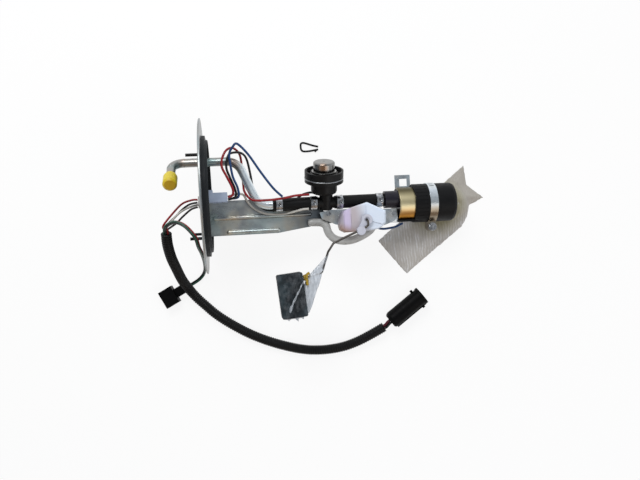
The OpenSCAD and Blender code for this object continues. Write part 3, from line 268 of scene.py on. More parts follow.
# Spring wire bright under its oil, and the black oxide of studs and clip
spring_wire = plain_finish("oiled_spring_wire", "#A0A3A6", "#6E7174", 3, (0.22, 0.35), 0.01,
                           {"Metallic": 1.0})
black_oxide = plain_finish("black_oxide_steel", "#131314", "#080809", 3, (0.3, 0.5), 0.02,
                           {"Metallic": 0.6})
# Hidden inside: brass with a turned shine, browned laminations, chalky dark ferrite, grey
# castings, and a pale fired finish for the sender's card, which the impeller shares
brass = plain_finish("turned_brass", "#C9A85C", "#A07F38", 3, (0.2, 0.35), 0.01, {"Metallic": 1.0})
rotor_copper = plain_finish("lacquered_laminations", "#A0693E", "#6B4024", 3, (0.3, 0.5), 0.03,
                            {"Metallic": 1.0})
ferrite = plain_finish("sintered_ferrite", "#48484A", "#303032", 2, (0.5, 0.7), 0.08, {"IOR": 2.0})
die_cast = plain_finish("die_cast_aluminium", "#C4C7C9", "#999CA0", 4, (0.35, 0.5), 0.05,
                        {"Metallic": 1.0})
card_ceramic = plain_finish("printed_ceramic_card", "#ECECE4", "#D4D4CC", 3, (0.3, 0.4), 0.01,
                            {"IOR": 1.6})
# Thermoplastic wire insulation, glossy from the extruder
insulation = {
    name: plain_finish(name + "_wire_insulation", light, dark, 5, (0.28, 0.42), 0.02,
                       {"IOR": 1.53, "Specular_IOR_Level": 0.3})
    for name, light, dark in (
        ("red", "#9E1A22", "#6C1118"), ("black", "#0A0A0C", "#050506"),
        ("blue", "#264C80", "#142C50"), ("white", "#CFCDC6", "#A3A19C"),
        ("green", "#16503C", "#0D3226"), ("brown", "#1F1616", "#0F0A0A"),
        ("maroon", "#5E1428", "#3A0C18"))
}
# Extruded nylon return tube, cloudy and half clear
cloudy_nylon = plain_finish("cloudy_extruded_nylon", "#D2D2D0", "#A4A5A3", 7, (0.25, 0.4), 0.03,
                            {"IOR": 1.5, "Transmission_Weight": 0.35})
# Split polyethylene loom
loom_plastic = plain_finish("corrugated_polyethylene", "#0C0C0D", "#060606", 8, (0.34, 0.5), 0.02,
                            {"IOR": 1.51, "Specular_IOR_Level": 0.18})

# Gold chromate over the drawn pump case, with the light across its round side painted in: a dark
# olive painted shade at its upper side, straw with a painted highlight in the middle, then amber
# and darker below as painted shade
gold_chromate, tree, shader = finish("gold_chromate_case", Metallic=1.0)
place, tint = mottled(tree, shader, "#DFD4B0", "#CBBC8E", 16, (0.3, 0.38), 0.003)
tint = drift(tree, shader, place, tint, laid(210, -13, 0), laid(210, -2, 0), "#5A543C")
drift(tree, shader, place, tint, laid(210, -19, 0), laid(210, -33, 0), "#B27C30")

# Woven nylon strainer cloth, in mm: ribs and cross threads drawn coarser than real, so that they
# show, and worn off along broken stretches
RIBS_APART, THREADS_APART, WORN_GRAIN, CLOUD_GRAIN = 3.3, 1.7, 5, 24
sock_cloth, tree, shader = finish("woven_nylon_strainer_cloth", Sheen_Weight=0.15, IOR=1.5,
                                  Roughness=0.75)
place = add(tree, "TexCoord")
clouds = add(tree, "TexNoise", {"Vector": place.outputs["Object"], "Scale": 1 / (CLOUD_GRAIN * MM),
                                "Detail": 3})
turned = add(tree, "Mapping", {"Vector": place.outputs["Object"],
                               "Rotation": (0, 0, math.radians(-3))})
warp = add(tree, "TexWave", {"Vector": turned.outputs[0], "Scale": WAVE / (RIBS_APART * MM),
                             "Distortion": 4.5, "Detail": 3.0, "Detail Scale": 1.0},
           wave_type="BANDS", bands_direction="X", wave_profile="SIN")
weft = add(tree, "TexWave", {"Vector": turned.outputs[0], "Scale": WAVE / (THREADS_APART * MM),
                             "Distortion": 2.5, "Detail": 2.0, "Detail Scale": 1.5},
           wave_type="BANDS", bands_direction="Y", wave_profile="SIN")
threads = add(tree, "Math", {0: weft.outputs["Fac"], 1: 0.35, 2: warp.outputs["Fac"]},
              operation="MULTIPLY_ADD")
ribs = add(tree, "MapRange", {"Value": threads.outputs[0], "From Min": 0.55, "From Max": 1.25})
long_way = add(tree, "Mapping", {"Vector": place.outputs["Object"], "Scale": (1, 0.3, 1)})
broken = add(tree, "TexNoise", {"Vector": long_way.outputs[0], "Scale": 1 / (WORN_GRAIN * MM),
                                "Detail": 2})
worn = add(tree, "MapRange", {"Value": broken.outputs["Fac"], "From Min": 0.42, "From Max": 0.62,
                              "To Min": 0.05, "To Max": 0.8})
share = add(tree, "Math", {0: ribs.outputs[0], 1: worn.outputs[0]}, operation="MULTIPLY")
pale = add(tree, "MapRange", {"Value": clouds.outputs["Fac"], "From Min": 0.35, "From Max": 0.65,
                              "To Max": 0.35})
share = add(tree, "Math", {0: share.outputs[0], 1: pale.outputs[0]}, operation="ADD")
tint = add(tree, "Mix", {"Factor": share.outputs[0], 6: colour("#B5B0A9"), 7: colour("#D9D9DA")},
           data_type="RGBA")
# greyer towards the folded corner; olive and darker round the pump's end, partly the cloth's olive
# tint and partly painted shadow
tint = drift(tree, shader, place, tint, bench(150, 28), bench(176, 56), "#A6A199")
patch(tree, shader, place, tint, bench(140, 33, 20), 44, 26, "#878160")
weave = add(tree, "Bump", {"Height": threads.outputs[0], "Distance": 0.35 * MM, "Strength": 0.7})
tree.links.new(weave.outputs[0], shader.inputs["Normal"])


def film_finish(name, clear, white, grain_mm, long_way=0.22, open_at=None):
    """Crumpled polyethylene film: more or less clear, white where light catches a crease."""
    made, tree, shader = finish(name, IOR=1.5, Roughness=0.2)
    place = add(tree, "TexCoord")
    turned = add(tree, "Mapping", {"Vector": place.outputs["Object"], "Scale": (1, long_way, 1),
                                   "Rotation": (0, 0, math.radians(-18))})
    streaks = add(tree, "TexNoise", {"Vector": turned.outputs[0], "Scale": 1 / (grain_mm * MM),
                                     "Detail": 4})
    crease = add(tree, "TexVoronoi", {"Vector": turned.outputs[0],
                                      "Scale": 1 / (3 * grain_mm * MM)}, feature="DISTANCE_TO_EDGE")
    seen = add(tree, "MapRange", {"Value": streaks.outputs["Fac"], "From Min": 0.42,
                                  "From Max": 0.7, "To Min": clear, "To Max": white})
    tint = add(tree, "Mix", {"Factor": streaks.outputs["Fac"], 6: colour("#8B929C"),
                             7: colour("#E6ECF2")}, data_type="RGBA")
    folds = add(tree, "Bump", {"Height": crease.outputs["Distance"], "Distance": 1.6 * MM,
                               "Strength": 0.9})
    if open_at:
        # one layer only, nearly clear, where it runs up the wire
        near = add(tree, "VectorMath", {0: place.outputs["Object"], 1: open_at},
                   operation="DISTANCE")
        left = add(tree, "MapRange", {"Value": near.outputs["Value"], "From Min": 7 * MM,
                                      "From Max": 14 * MM, "To Min": 0.4})
        seen = add(tree, "Math", {0: seen.outputs[0], 1: left.outputs[0]}, operation="MULTIPLY")
    tree.links.new(seen.outputs[0], shader.inputs["Alpha"])
    tree.links.new(tint.outputs[2], shader.inputs["Base Color"])
    tree.links.new(folds.outputs[0], shader.inputs["Normal"])
    return made


# Polyethylene film: stretched clear over the float, gathered and cloudy beside it
tight_film = film_finish("stretched_clear_film", 0.0, 0.09, 4.5, long_way=0.6)
loose_film = film_finish("gathered_clear_film", 0.94, 1.0, 2.2, open_at=laid(124.5, -73, 8))
fold_film = film_finish("folded_clear_film", 0.25, 0.75, 1.4)

FINISH_OF = {
    "flange_plate": zinc_flange, "flange_gasket": sheen_gasket_rubber, "studs": black_oxide,
    "outlet_tube": tube_plate, "outlet_cap": yellow_vinyl, "pass_through": grey_polyester,
    "inner_plug": block_acetal, "hanger": zinc_hanger, "hanger_rivets": mirror_steel,
    "pump_carrier": zinc_carrier, "lower_hose": rubber, "upper_hose": rubber,
    "hose_clamps": mirror_steel, "regulator_tee": black_nylon, "regulator_can": chrome,
    "regulator_seal": rubber, "retainer_ring": spring_wire, "regulator_valve": brass,
    "regulator_spring": spring_wire, "pump_case": gold_chromate, "pump_head": head_acetal,
    "check_valve": milky_acetal, "check_spring": spring_wire, "pump_magnets": ferrite,
    "pump_brushes": ferrite, "armature": rotor_copper, "impeller": card_ceramic,
    "pump_chamber": die_cast, "pump_inlet": die_cast, "pump_sleeve": rubber,
    "band_clamp": bright_strip, "band_screw": mirror_steel, "strainer_collar": milky_acetal,
    "sender_housing": sender_acetal, "sender_card": card_ceramic, "arm_hub": hub_acetal,
    "wiper": brass, "float": float_foam, "bag_tie": tie_paper, "round_connector": connector_nylon,
    "t_plug": connector_nylon,
}
for name, surface in FINISH_OF.items():
    nodes[name].data.materials.clear()
    nodes[name].data.materials.append(surface)


# ---- cords -------------------------------------------------------------------------------

def rounded(route, steps):
    """Points on a smooth curve through a route."""
    line = []
    for i in range(len(route) - 1):
        a, b, c, d = (route[k] for k in (max(i - 1, 0), i, i + 1, min(i + 2, len(route) - 1)))
        for k in range(steps):
            t = k / steps
            line.append(0.5 * (2 * b + (c - a) * t + (2 * a - 5 * b + 4 * c - d) * t * t
                               + (3 * b - a - 3 * c + d) * t ** 3))
    return line + [route[-1]]


def run_length(line):
    """The length along a line of points."""
    return sum((b - a).length for a, b in zip(line, line[1:]))


def heading(line, i):
    """The way that a line of points runs at one of them."""
    return (line[min(i + 1, len(line) - 1)] - line[max(i - 1, 0)]).normalized()


def strand(name, line, width, surface, node, body="module"):
    """A round strand drawn as one curve; where a node is named, it stands for its solid."""
    data = bpy.data.curves.new(name, "CURVE")
    data.dimensions = "3D"
    spline = data.splines.new("POLY")
    spline.points.add(len(line) - 1)
    for point, at in zip(spline.points, line):
        point.co = (*at, 1)
    data.bevel_depth = width / 2
    data.bevel_resolution = 4
    data.use_fill_caps = True
    data.materials.append(surface)
    made = bpy.data.objects.new(name, data)
    scene.collection.objects.link(made)
    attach(made, body)
    if node:
        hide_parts(node)
    return made


def rings(name, line, profile, sides, surface, body="module"):
    """A closed tube mesh along a line of close points, its radius profile(distance, side)."""
    mesh = bmesh.new()
    side = Vector((0, 0, 1)).cross(line[1] - line[0]).normalized()
    loops, gone = [], 0.0
    for i, at in enumerate(line):
        ahead = heading(line, i)
        side = (side - ahead * side.dot(ahead)).normalized()
        up = ahead.cross(side)
        if i:
            gone += (at - line[i - 1]).length
        loop = []
        for k in range(sides):
            turn = 2 * math.pi * k / sides
            out = math.cos(turn) * side + math.sin(turn) * up
            loop.append(mesh.verts.new(at + profile(gone, k) * out))
        loops.append(loop)
    for a, b in zip(loops, loops[1:]):
        for k in range(sides):
            mesh.faces.new((a[k], a[(k + 1) % sides], b[(k + 1) % sides], b[k]))
    mesh.faces.new(reversed(loops[0]))
    mesh.faces.new(loops[-1])
    return piece(name, mesh, surface, body)


def piece(name, mesh, surface, body):
    """Makes an object of a bmesh, gives it its surface and lets it ride on its body."""
    bmesh.ops.recalc_face_normals(mesh, faces=mesh.faces)
    data = bpy.data.meshes.new(name)
    mesh.to_mesh(data)
    mesh.free()
    data.materials.append(surface)
    for face in data.polygons:
        face.use_smooth = True
    made = bpy.data.objects.new(name, data)
    scene.collection.objects.link(made)
    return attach(made, body)


LOOM_MOUTH, LOOM_NEAR_END, LOOM_END = (-164, 16, 88), (53, -116.5, 7), (70, -107.5, 9.5)
LOOM_ROUTE = (
    LOOM_MOUTH, (-165, 4, 80), (-165, -10, 66), (-164, -23, 48), (-162, -37, 30), (-158, -48, 16.5),
    (-151, -59, 9.5), (-141, -70, 6.2), (-127, -83, 6), (-107, -97, 6), (-84, -110, 6),
    (-57, -121, 6), (-28, -129, 6), (-4, -131, 6), (18, -129, 6), (36, -124, 6), LOOM_NEAR_END,
    LOOM_END)
LOOM_D, LOOM_PITCH = 11.5 * MM, 2.7 * MM
# Half the height between crest and valley, how far their middle lies within the loom's width,
# and the slit's depth
LOOM_WAVE, LOOM_BACK, LOOM_SLIT = 0.33 * MM, 0.2 * MM, 0.45 * MM
loom_line = rounded([bench(*p) for p in LOOM_ROUTE], 36)


def evenly(line, step):
    """The same line with points a fixed step apart."""
    out, left = [line[0]], step
    for a, b in zip(line, line[1:]):
        span = (b - a).length
        while span >= left:
            a = a.lerp(b, left / span)
            out.append(a)
            span, left = (b - a).length, step
        left -= span
    return out + [line[-1]] if (out[-1] - line[-1]).length > step / 4 else out


def loom_wall(gone, k):
    """Corrugation with flat crests, and the slit along one side."""
    wave = math.sin(2 * math.pi * gone / LOOM_PITCH)
    crest = max(-1.0, min(1.0, 1.8 * wave))
    slit = LOOM_SLIT if k == 5 else 0.0
    return LOOM_D / 2 - LOOM_BACK + LOOM_WAVE * crest - slit


loom = rings("harness_loom_tube", evenly(loom_line, LOOM_PITCH / 6), loom_wall, 22, loom_plastic)
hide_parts("harness_loom")

BERTHS_APART = 2.35
mouth_out = Vector((1, 12, 8)).normalized()
mouth_side = Vector((1, 0, 0))
mouth_up = mouth_side.cross(mouth_out).normalized()


def mouth(a, b, far):
    """A point in front of the loom's open end, in mm over the bench."""
    return tuple(Vector(LOOM_MOUTH) + a * mouth_side + b * mouth_up + far * mouth_out)


def berth(angle, far):
    """One of the six places round the middle wire in the loom's mouth."""
    turn = math.radians(angle)
    return mouth(BERTHS_APART * math.cos(turn), BERTHS_APART * math.sin(turn), far)


# Four leads from the grommet into the loom
LEAD_D = 2.2 * MM
for tone, route in (
        ("red", [(-128.9, 50.5, 85), (-135, 50.4, 86), (-145, 47, 88), (-154.5, 38, 90),
                 berth(210, 10), berth(210, 4), berth(210, 0.1)]),
        ("black", [(-128.9, 47.4, 87), (-137, 46, 87.2), (-145, 41.5, 86.2), (-153, 34, 87),
                   (-162.6, 25, 89.2), berth(270, 4.5), berth(270, 0.1)]),
        ("white", [(-128.9, 45.2, 83.6), (-136, 43.6, 85), (-146, 38.8, 89.2), (-154.8, 31, 91.2),
                   mouth(0, 0, 6.5), mouth(0, 0, 4), mouth(0, 0, 0.1)]),
        ("brown", [(-128.9, 42.6, 86.5), (-136, 40.4, 87.5), (-145, 33.4, 88), (-152.5, 26.4, 88.6),
                   berth(330, 4.5), berth(330, 2), berth(330, 0.1)])):
    line = rounded([bench(*p) for p in route], 8)
    lead = strand("lead_strand_" + tone, line, LEAD_D, insulation[tone], "lead_" + tone)

# Three wires in one bundle over the lower stud; the black one carries the small plug. They lie
# this far from the bundle's middle, in mm
PLUG_WIRE_D, PLUG_BESIDE = 2.0 * MM, 1.25
plug_way = rounded([Vector(p) for p in (
    mouth(0, 3.2, 9), (-157.5, 25.5, 101.5), (-149.3, 27, 111), (-140.5, 24.3, 119.5),
    (-131.8, 18.4, 131), (-124.6, 9, 132.6), (-123.4, -0.6, 124), (-124.6, -7.4, 102),
    (-129, -15.5, 65), (-134.4, -23.2, 30), (-138, -28.5, 12), (-142, -34, 3.4),
    (-148, -39.7, 2.4), (-158, -45.3, 3), (-164.81, -48.33, 3.6))], 4)
plug_sides, side = [], None
for i in range(len(plug_way)):
    ahead = heading(plug_way, i)
    side = side or ahead.cross(Vector((0, 0, 1)))
    side = (side - ahead * side.dot(ahead)).normalized()
    plug_sides.append((side, ahead.cross(side)))
for tone, place_at, turn in (("green", 150, 210), ("red", 30, 90), ("black", 90, 330)):
    turn = math.radians(turn)
    route = [p + PLUG_BESIDE * (math.cos(turn) * a + math.sin(turn) * b)
             for p, (a, b) in zip(plug_way, plug_sides)]
    start = [bench(*berth(place_at, far)) for far in (0.1, 1.5, 3, 5)]
    line = rounded(start + [bench(*p) for p in route[1:]], 2)
    wire = strand("plug_strand_" + tone, line, PLUG_WIRE_D, insulation[tone], "plug_" + tone)

# Wires inside the flange, with the solids' own routes: their far ends stop short of the pieces
# that they run to
WIRE_D = 2.6 * MM
for name, tone, route in (
        ("red", "red", [
            (25, -2, 5), (30, 0, 5), (30.5, 7, 5), (24.5, 21, 5), (20.5, 30, 4), (20.5, 38, 3),
            (25, 48, 1), (32, 52.5, -6), (38.5, 49, -14), (41.5, 42, -22), (42.3, 24, -21.5),
            (42.6, 13, -19), (43.6, 4, -13), (50, -5, -3.4), (62, -7, -1), (82, -6, -0.5),
            (99, -3.3, -1.6), (114, -2.8, -2.8)]),
        ("black", "black", [
            (25, -4.5, 1), (33.5, -1.5, 1), (33, 7, 1), (28.5, 19, 0.5), (25, 31, -0.5),
            (28, 44, -2), (35, 47.5, -8), (43, 47, -15), (48, 41, -22), (51.2, 24, -22),
            (54, 2, -21), (59, -10, -20.8), (66, -16, -21.5), (76, -17, -21.8), (90, -14, -21.6),
            (99.5, -7.5, -19.8), (106, -2.6, -15.8), (112, -0.5, -12.6), (118.3, 0, -12),
            (124, -2.2, -13)]),
        ("blue", "blue", [
            (25, -3, -4), (36, -2, -3), (36, 8, -2), (31.5, 20, 0), (29.5, 34, 0), (29, 45, 1),
            (33, 52, 4), (38, 55, 5), (49, 43.5, 4), (61.5, 24, 3), (74, 6, 3), (84, -4.2, 2.6)]),
        ("white", "white", [
            (25, -0.5, -8), (35, 2, -10), (42, 1, -14), (46, -6, -19), (53, -14, -20.2),
            (65, -20.5, -19.8), (80, -22.2, -17.5), (91, -21.6, -13), (99, -20.2, -8.6),
            (106, -18.7, -6), (113, -18.4, -5.5)]),
        ("short", "blue", [
            (193, -37, -13.2), (193, -39.5, -19), (194.5, -43.5, -23.5), (200, -44.8, -23.5),
            (206, -44.5, -23.5), (214.5, -43.2, -23), (219.6, -40.9, -22.5), (223, -39.6, -22.5)])):
    line = rounded([laid(*p) for p in route], 6)
    wire = strand("inside_strand_" + name, line, WIRE_D, insulation[tone], "wire_" + name)

# Two short wires between the loom's end and the round connector, this far from their middle
TAIL_D, TAIL_BESIDE = 3.2 * MM, 1.55
loom_end = Vector(LOOM_END)
out = (loom_end - Vector(LOOM_NEAR_END)).normalized()
beside = Vector((0, 0, 1)).cross(out).normalized()
back, conn_turn = Vector((78, -101, 11.05)), math.radians(36.6)
nose, across = (Vector((math.cos(conn_turn), math.sin(conn_turn), 0)),
                Vector((-math.sin(conn_turn), math.cos(conn_turn), 0)))
tail_routes = [[loom_end + 0.1 * out + s * beside, loom_end + 3 * out + s * beside,
                back - 3 * nose + s * across, back - 0.1 * nose + s * across]
               for s in (-TAIL_BESIDE, TAIL_BESIDE)]
tails = [strand("tail_strand_" + tone, rounded([bench(*p) for p in route], 6), TAIL_D,
                insulation[tone], None)
         for tone, route in zip(("black", "maroon"), tail_routes)]
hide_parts("connector_tails")

# Return tube, arm and clip: round stock that the solids draw with flat sides
RETURN_ROUTE = ((112.6, -33.3, -18.8), (122.1, -33.5, -18.4), (128.7, -34.5, -17.5),
                (132.8, -38, -16.4), (133.9, -42.8, -15.6), (136, -47.7, -15), (140, -52.1, -15),
                (145.5, -55, -15), (153.2, -56.1, -15), (160.9, -55.6, -15.4), (168.6, -53.4, -16),
                (176.5, -49.9, -16.8), (183.5, -45.5, -17.6), (186.7, -40.9, -18))
RETURN_R, RETURN_STEP = 4.5 * MM, 0.9 * MM
# How much of its radius the tube's end keeps, and over what length it widens
RETURN_NIP, RETURN_WIDENS = 0.45, 6 * MM


def return_wall(gone, _):
    """Round wall, its open end drawn in by the cutter."""
    back = max(0.0, 1 - gone / RETURN_WIDENS)
    return RETURN_R * (RETURN_NIP + (1 - RETURN_NIP) * math.sqrt(1 - back * back))


return_line = evenly(rounded([laid(*p) for p in RETURN_ROUTE], 6), RETURN_STEP)
return_tube = rings("return_tube_bent", return_line, return_wall, 20, cloudy_nylon)
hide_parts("return_tube")
PIVOT = Vector((175.4, -34, 9.3))
REACH, FALL = 87.5, 78
ARM_D, CLIP_D, BARB_D = 2.5 * MM, 2.4 * MM, 1.7 * MM
# Points of the arm that other pieces take up
ON_WIRE, BEFORE_TIE, AT_TIE = 8, 11, 12
arm_route = [PIVOT + Vector(p) for p in (
    (0, 0, -5), (0, 0, -2.5), (0.4, -1.9, 0), (0.8, -6.1, 0), (-3.2, -9.15, 0), (-10.7, -12.1, 0),
    *((x * REACH, y * FALL, z) for x, y, z in (
        (-0.286, -0.229, 0), (-0.448, -0.308, 0), (-0.522, -0.424, 0), (-0.611, -0.695, 0),
        (-0.66, -0.736, -0.5), (-0.744, -0.753, -1.2), (-0.813, -0.78, -1.8),
        (-1.05, -0.873, -4))))]
strand("float_arm_wire", [laid(*p) for p in arm_route], ARM_D, arm_wire, "float_arm",
       "float_swing")
CLIP_ROUTE = ((4, 112), (-3, 114), (-9, 116.2), (-14, 117.6), (-16.6, 116.4), (-17, 113),
              (-16.4, 109.4), (-14, 107.4), (-8, 107.2), (-1, 108), (3.8, 108.8))
BARB_ROUTE = ((3.6, 108.9, 1.2), (1.6, 107.4, 1.3), (-0.4, 106, 1.4))
strand("hairpin_clip_wire", rounded([bench(x, y, 1.2) for x, y in CLIP_ROUTE], 5), CLIP_D,
       black_oxide, "loose_clip", "hairpin")
strand("hairpin_clip_barb", [bench(*p) for p in BARB_ROUTE], BARB_D, black_oxide, None,
       "hairpin")


# ---- strainer sock -----------------------------------------------------------------------

SOCK_EDGE = ((70, -5), (86, -26), (102, -46), (121, -31), (146, -12), (171, 7), (175, 13),
             (178.5, 19), (181, 32), (190, 36), (198.5, 40.5), (189, 48), (179, 57), (178, 68),
             (177, 79.5), (166, 71), (156, 63), (135, 46), (112, 28), (90, 11))
# Heights over the bench: the underside, the cloth's cut edge, what the hem adds, what the
# padding adds
SOCK_LOW, EDGE_UP, HEM_UP, PAD_UP = 0.15, 0.9, 0.5, 4.6
# How far inside the edge the hem is whole, the padding begins, and the width of its shoulder
HEM_WIDTH, PAD_FROM, PAD_SHOULDER = 3.2, 2.6, 8
# The neck that rises round the pump's end: its middle, radius, height and pleats
NECK_X, NECK_Y, NECK_R, NECK_UP, NECK_PLEATS = 157, 36.5, 25, 33, 7
# The middle of its pleats, and where it begins to stand clear of the pump
PLEATS_X, PLEATS_Y, NECK_CLEAR_X, NECK_CLEAR_WIDTH = 154, 36, 156.5, 2.2
# Spacing of the cloth's points along the edge and inside, the square that they fill, and how
# near the edge they come
EDGE_STEP, CLOTH_STEP, CLOTH_CORNER, CLOTH_WIDTH, CLOTH_MARGIN = 2.2, 1.5, (66, -50), 140, 0.9
# How far the edge waves
EDGE_WAVES = 0.7


def edge_distance(x, y):
    """How far a point of the bench is inside the sock's outline, in mm."""
    best = 1e9
    for a, b in zip(SOCK_EDGE, SOCK_EDGE[1:] + SOCK_EDGE[:1]):
        ax, ay, bx, by = *a, *b
        along = (x - ax) * (bx - ax) + (y - ay) * (by - ay)
        t = max(0, min(1, along / ((bx - ax) ** 2 + (by - ay) ** 2)))
        best = min(best, math.hypot(x - ax - t * (bx - ax), y - ay - t * (by - ay)))
    return best


def sock_height(x, y):
    """The cloth's upper face: a sealed hem, a padded middle with soft folds, and the neck."""
    inside = edge_distance(x, y)
    hem = min(1, inside / HEM_WIDTH)
    puff = 1 - math.exp(-((max(inside - PAD_FROM, 0) / PAD_SHOULDER) ** 1.4))
    fold = (noise.noise(Vector((x * 0.13, y * 0.04, 0.3))) * 1.1
            + noise.noise(Vector((x * 0.05, y * 0.05, 7))) * 1.2)
    height = EDGE_UP + HEM_UP * hem + puff * (PAD_UP + fold)
    away = math.hypot(x - NECK_X, (y - NECK_Y) * 1.02)
    if away < NECK_R:
        rise = math.cos(math.pi / 2 * away / NECK_R) ** 1.3
        angle = math.atan2(y - PLEATS_Y, x - PLEATS_X)
        pleat = 1 + 0.06 * math.sin(NECK_PLEATS * angle) * min(1, away / 8)
        neck = NECK_UP * rise * pleat
        clear = max(0.0, min(1.0, (x - NECK_CLEAR_X) / NECK_CLEAR_WIDTH))
        clear = clear * clear * (3 - 2 * clear)
        if neck > height:
            height += (neck - height) * clear
    return height


def make_sock():
    """One closed skin: the padded upper face, the flat underside and the edge between them."""
    points = []
    for a, b in zip(SOCK_EDGE, SOCK_EDGE[1:] + SOCK_EDGE[:1]):
        parts = max(2, round(math.dist(a, b) / EDGE_STEP))
        points += [Vector((a[0] + (b[0] - a[0]) * k / parts, a[1] + (b[1] - a[1]) * k / parts))
                   for k in range(parts)]
    # the edge is a little wavy all round
    points = [p + EDGE_WAVES * Vector((noise.noise(Vector((p.x * 0.35, p.y * 0.35, 2))) - 0.2,
                                       noise.noise(Vector((p.x * 0.35, p.y * 0.35, 9)))))
              for p in points]
    count = len(points)
    ring = [(k, (k + 1) % count) for k in range(count)]
    outline = [(p.x, p.y) for p in points]

    def within(x, y):
        """Whether a point is inside the wavy outline, by the sides that a line from it crosses."""
        hit = False
        for a, b in zip(outline, outline[1:] + outline[:1]):
            if (a[1] > y) != (b[1] > y) and x < (b[0] - a[0]) * (y - a[1]) / (b[1] - a[1]) + a[0]:
                hit = not hit
        return hit

    for i in range(int(CLOTH_WIDTH / CLOTH_STEP)):
        for j in range(int(CLOTH_WIDTH / CLOTH_STEP)):
            x = CLOTH_CORNER[0] + i * CLOTH_STEP + (0.5 * CLOTH_STEP if j % 2 else 0)
            y = CLOTH_CORNER[1] + j * CLOTH_STEP
            if within(x, y) and edge_distance(x, y) > CLOTH_MARGIN:
                points.append(Vector((x, y)))
    flat, _, faces, *_ = geometry.delaunay_2d_cdt(points, ring, [], 1, 1e-5)
    mesh = bmesh.new()
    top = [mesh.verts.new(bench(p.x, p.y, sock_height(p.x, p.y))) for p in flat]
    low = [mesh.verts.new(bench(p.x, p.y, SOCK_LOW)) for p in flat]
    uses = {}
    for face in faces:
        mesh.faces.new([top[v] for v in face])
        mesh.faces.new([low[v] for v in reversed(face)])
        for a, b in zip(face, list(face[1:]) + [face[0]]):
            uses.setdefault(frozenset((a, b)), []).append((a, b))
    for ways in uses.values():
        if len(ways) == 1:
            a, b = ways[0]
            mesh.faces.new((top[b], top[a], low[a], low[b]))
    return piece("strainer_sock_cloth", mesh, sock_cloth, "module")


sock = make_sock()
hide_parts("strainer_sock")


# ---- film bag over the float -------------------------------------------------------------

FLOAT_MID = PIVOT + Vector((-REACH, -FALL, -3))
FLOAT_TURN = math.radians(5)
TIE = arm_route[AT_TIE]
# Points on each ball that the film is drawn round, the turn between two of them, and the cube
# that the joined skins are built of, in mm
BALL_POINTS, GOLDEN_TURN, FILM_CUBE = 60, 2.39996, 0.8


def hull_of(mesh, spots):
    """Adds the tight skin round some balls, each given by its middle and radius."""
    fresh = []
    for middle, size in spots:
        for k in range(BALL_POINTS):
            high = 1 - 2 * (k + 0.5) / BALL_POINTS
            wide, angle = math.sqrt(1 - high * high), GOLDEN_TURN * k
            fresh.append(mesh.verts.new(
                middle + size * Vector((wide * math.cos(angle), wide * math.sin(angle), high))))
    hull = bmesh.ops.convex_hull(mesh, input=fresh)
    inner = {v for v in hull["geom_interior"] + hull["geom_unused"]
             if isinstance(v, bmesh.types.BMVert)}
    bmesh.ops.delete(mesh, geom=list(inner), context="VERTS")


def film_piece(name, hulls, surface, thick):
    """Film drawn round some balls: their skins joined, then pleated from the tie and crumpled."""
    mesh = bmesh.new()
    for spots in hulls:
        hull_of(mesh, spots)
    shell = bpy.data.meshes.new(name + "_hull")
    mesh.to_mesh(shell)
    mesh.free()
    maker = bpy.data.objects.new(name + "_hull", shell)
    scene.collection.objects.link(maker)
    remesh = maker.modifiers.new("even", "REMESH")
    remesh.mode, remesh.voxel_size = "VOXEL", FILM_CUBE
    graph = bpy.context.evaluated_depsgraph_get()
    even = bpy.data.meshes.new_from_object(maker.evaluated_get(graph))
    bpy.data.objects.remove(maker)
    mesh = bmesh.new()
    mesh.from_mesh(even)
    bmesh.ops.recalc_face_normals(mesh, faces=mesh.faces)
    mesh.normal_update()
    for v in mesh.verts:
        off = v.co - TIE
        angle = math.atan2(off.y, off.x)
        pleat = noise.noise(Vector((angle * 5, off.length * 0.02, v.co.z * 0.06)))
        crumple = abs(noise.noise(v.co * 0.11 + Vector((3, 1, 8)))) * 1.6
        v.co += v.normal * (pleat * 1.1 - 0.5 - 0.5 * crumple) * min(1, off.length / 9) * thick
    for v in mesh.verts:
        v.co = laid(*v.co)
    made = piece(name, mesh, surface, "float_swing")
    return made


def float_spot(x, y, z=0.0):
    """A point given from the float's middle, along its own sides."""
    return FLOAT_MID + Matrix.Rotation(FLOAT_TURN, 3, "Z") @ Vector((x, y, z))


bag = film_piece("float_bag_tight", [
    [(float_spot(sx * 11.6, sy * 21.6, sz * 7.6), 3.8)
     for sx in (-1, 1) for sy in (-1, 1) for sz in (-1, 1)]
    + [(TIE + Vector((0.5, 0, 0)), 2.4), (float_spot(2, -27), 1.8), (float_spot(-7, -25.5), 1.6)]],
    tight_film, 1.0)
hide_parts("float_bag")
# The neck: gathered film from the apex on the wire past the tie and down the float's right side
film_piece("float_bag_neck", [
    [(TIE + Vector((2.2, 0.5, 0)), 2.0), (arm_route[ON_WIRE] + Vector((0, -2.4, 0.5)), 1.3),
     (FLOAT_MID + Vector((24, 4, 2)), 2.2), (float_spot(14.5, 4, 2), 2.6),
     (float_spot(15, -20, 1), 2.4)]], loose_film, 0.6)
# Its end past the float: a tucked edge with three pulled corners
film_piece("float_bag_end", [
    [(float_spot(-9, -24.5), 1.6), (float_spot(9, -24.5), 1.6)],
    [(float_spot(1, -24.5), 1.8), (float_spot(3, -28.5), 0.9)],
    [(float_spot(-6, -24.5), 1.8), (float_spot(-7, -27), 0.9)],
    [(float_spot(8, -24.5), 1.8), (float_spot(9, -27), 0.9)]], loose_film, 0.3)
# Twist tie: turns of paper covered wire round the neck, its two ends cut and bent out. Their
# radius and the ends' height in mm, and the width of each
TIE_R, TIE_UP, TIE_D, TIE_END_D = 3.5, 4.2, 2.9 * MM, 3.0 * MM
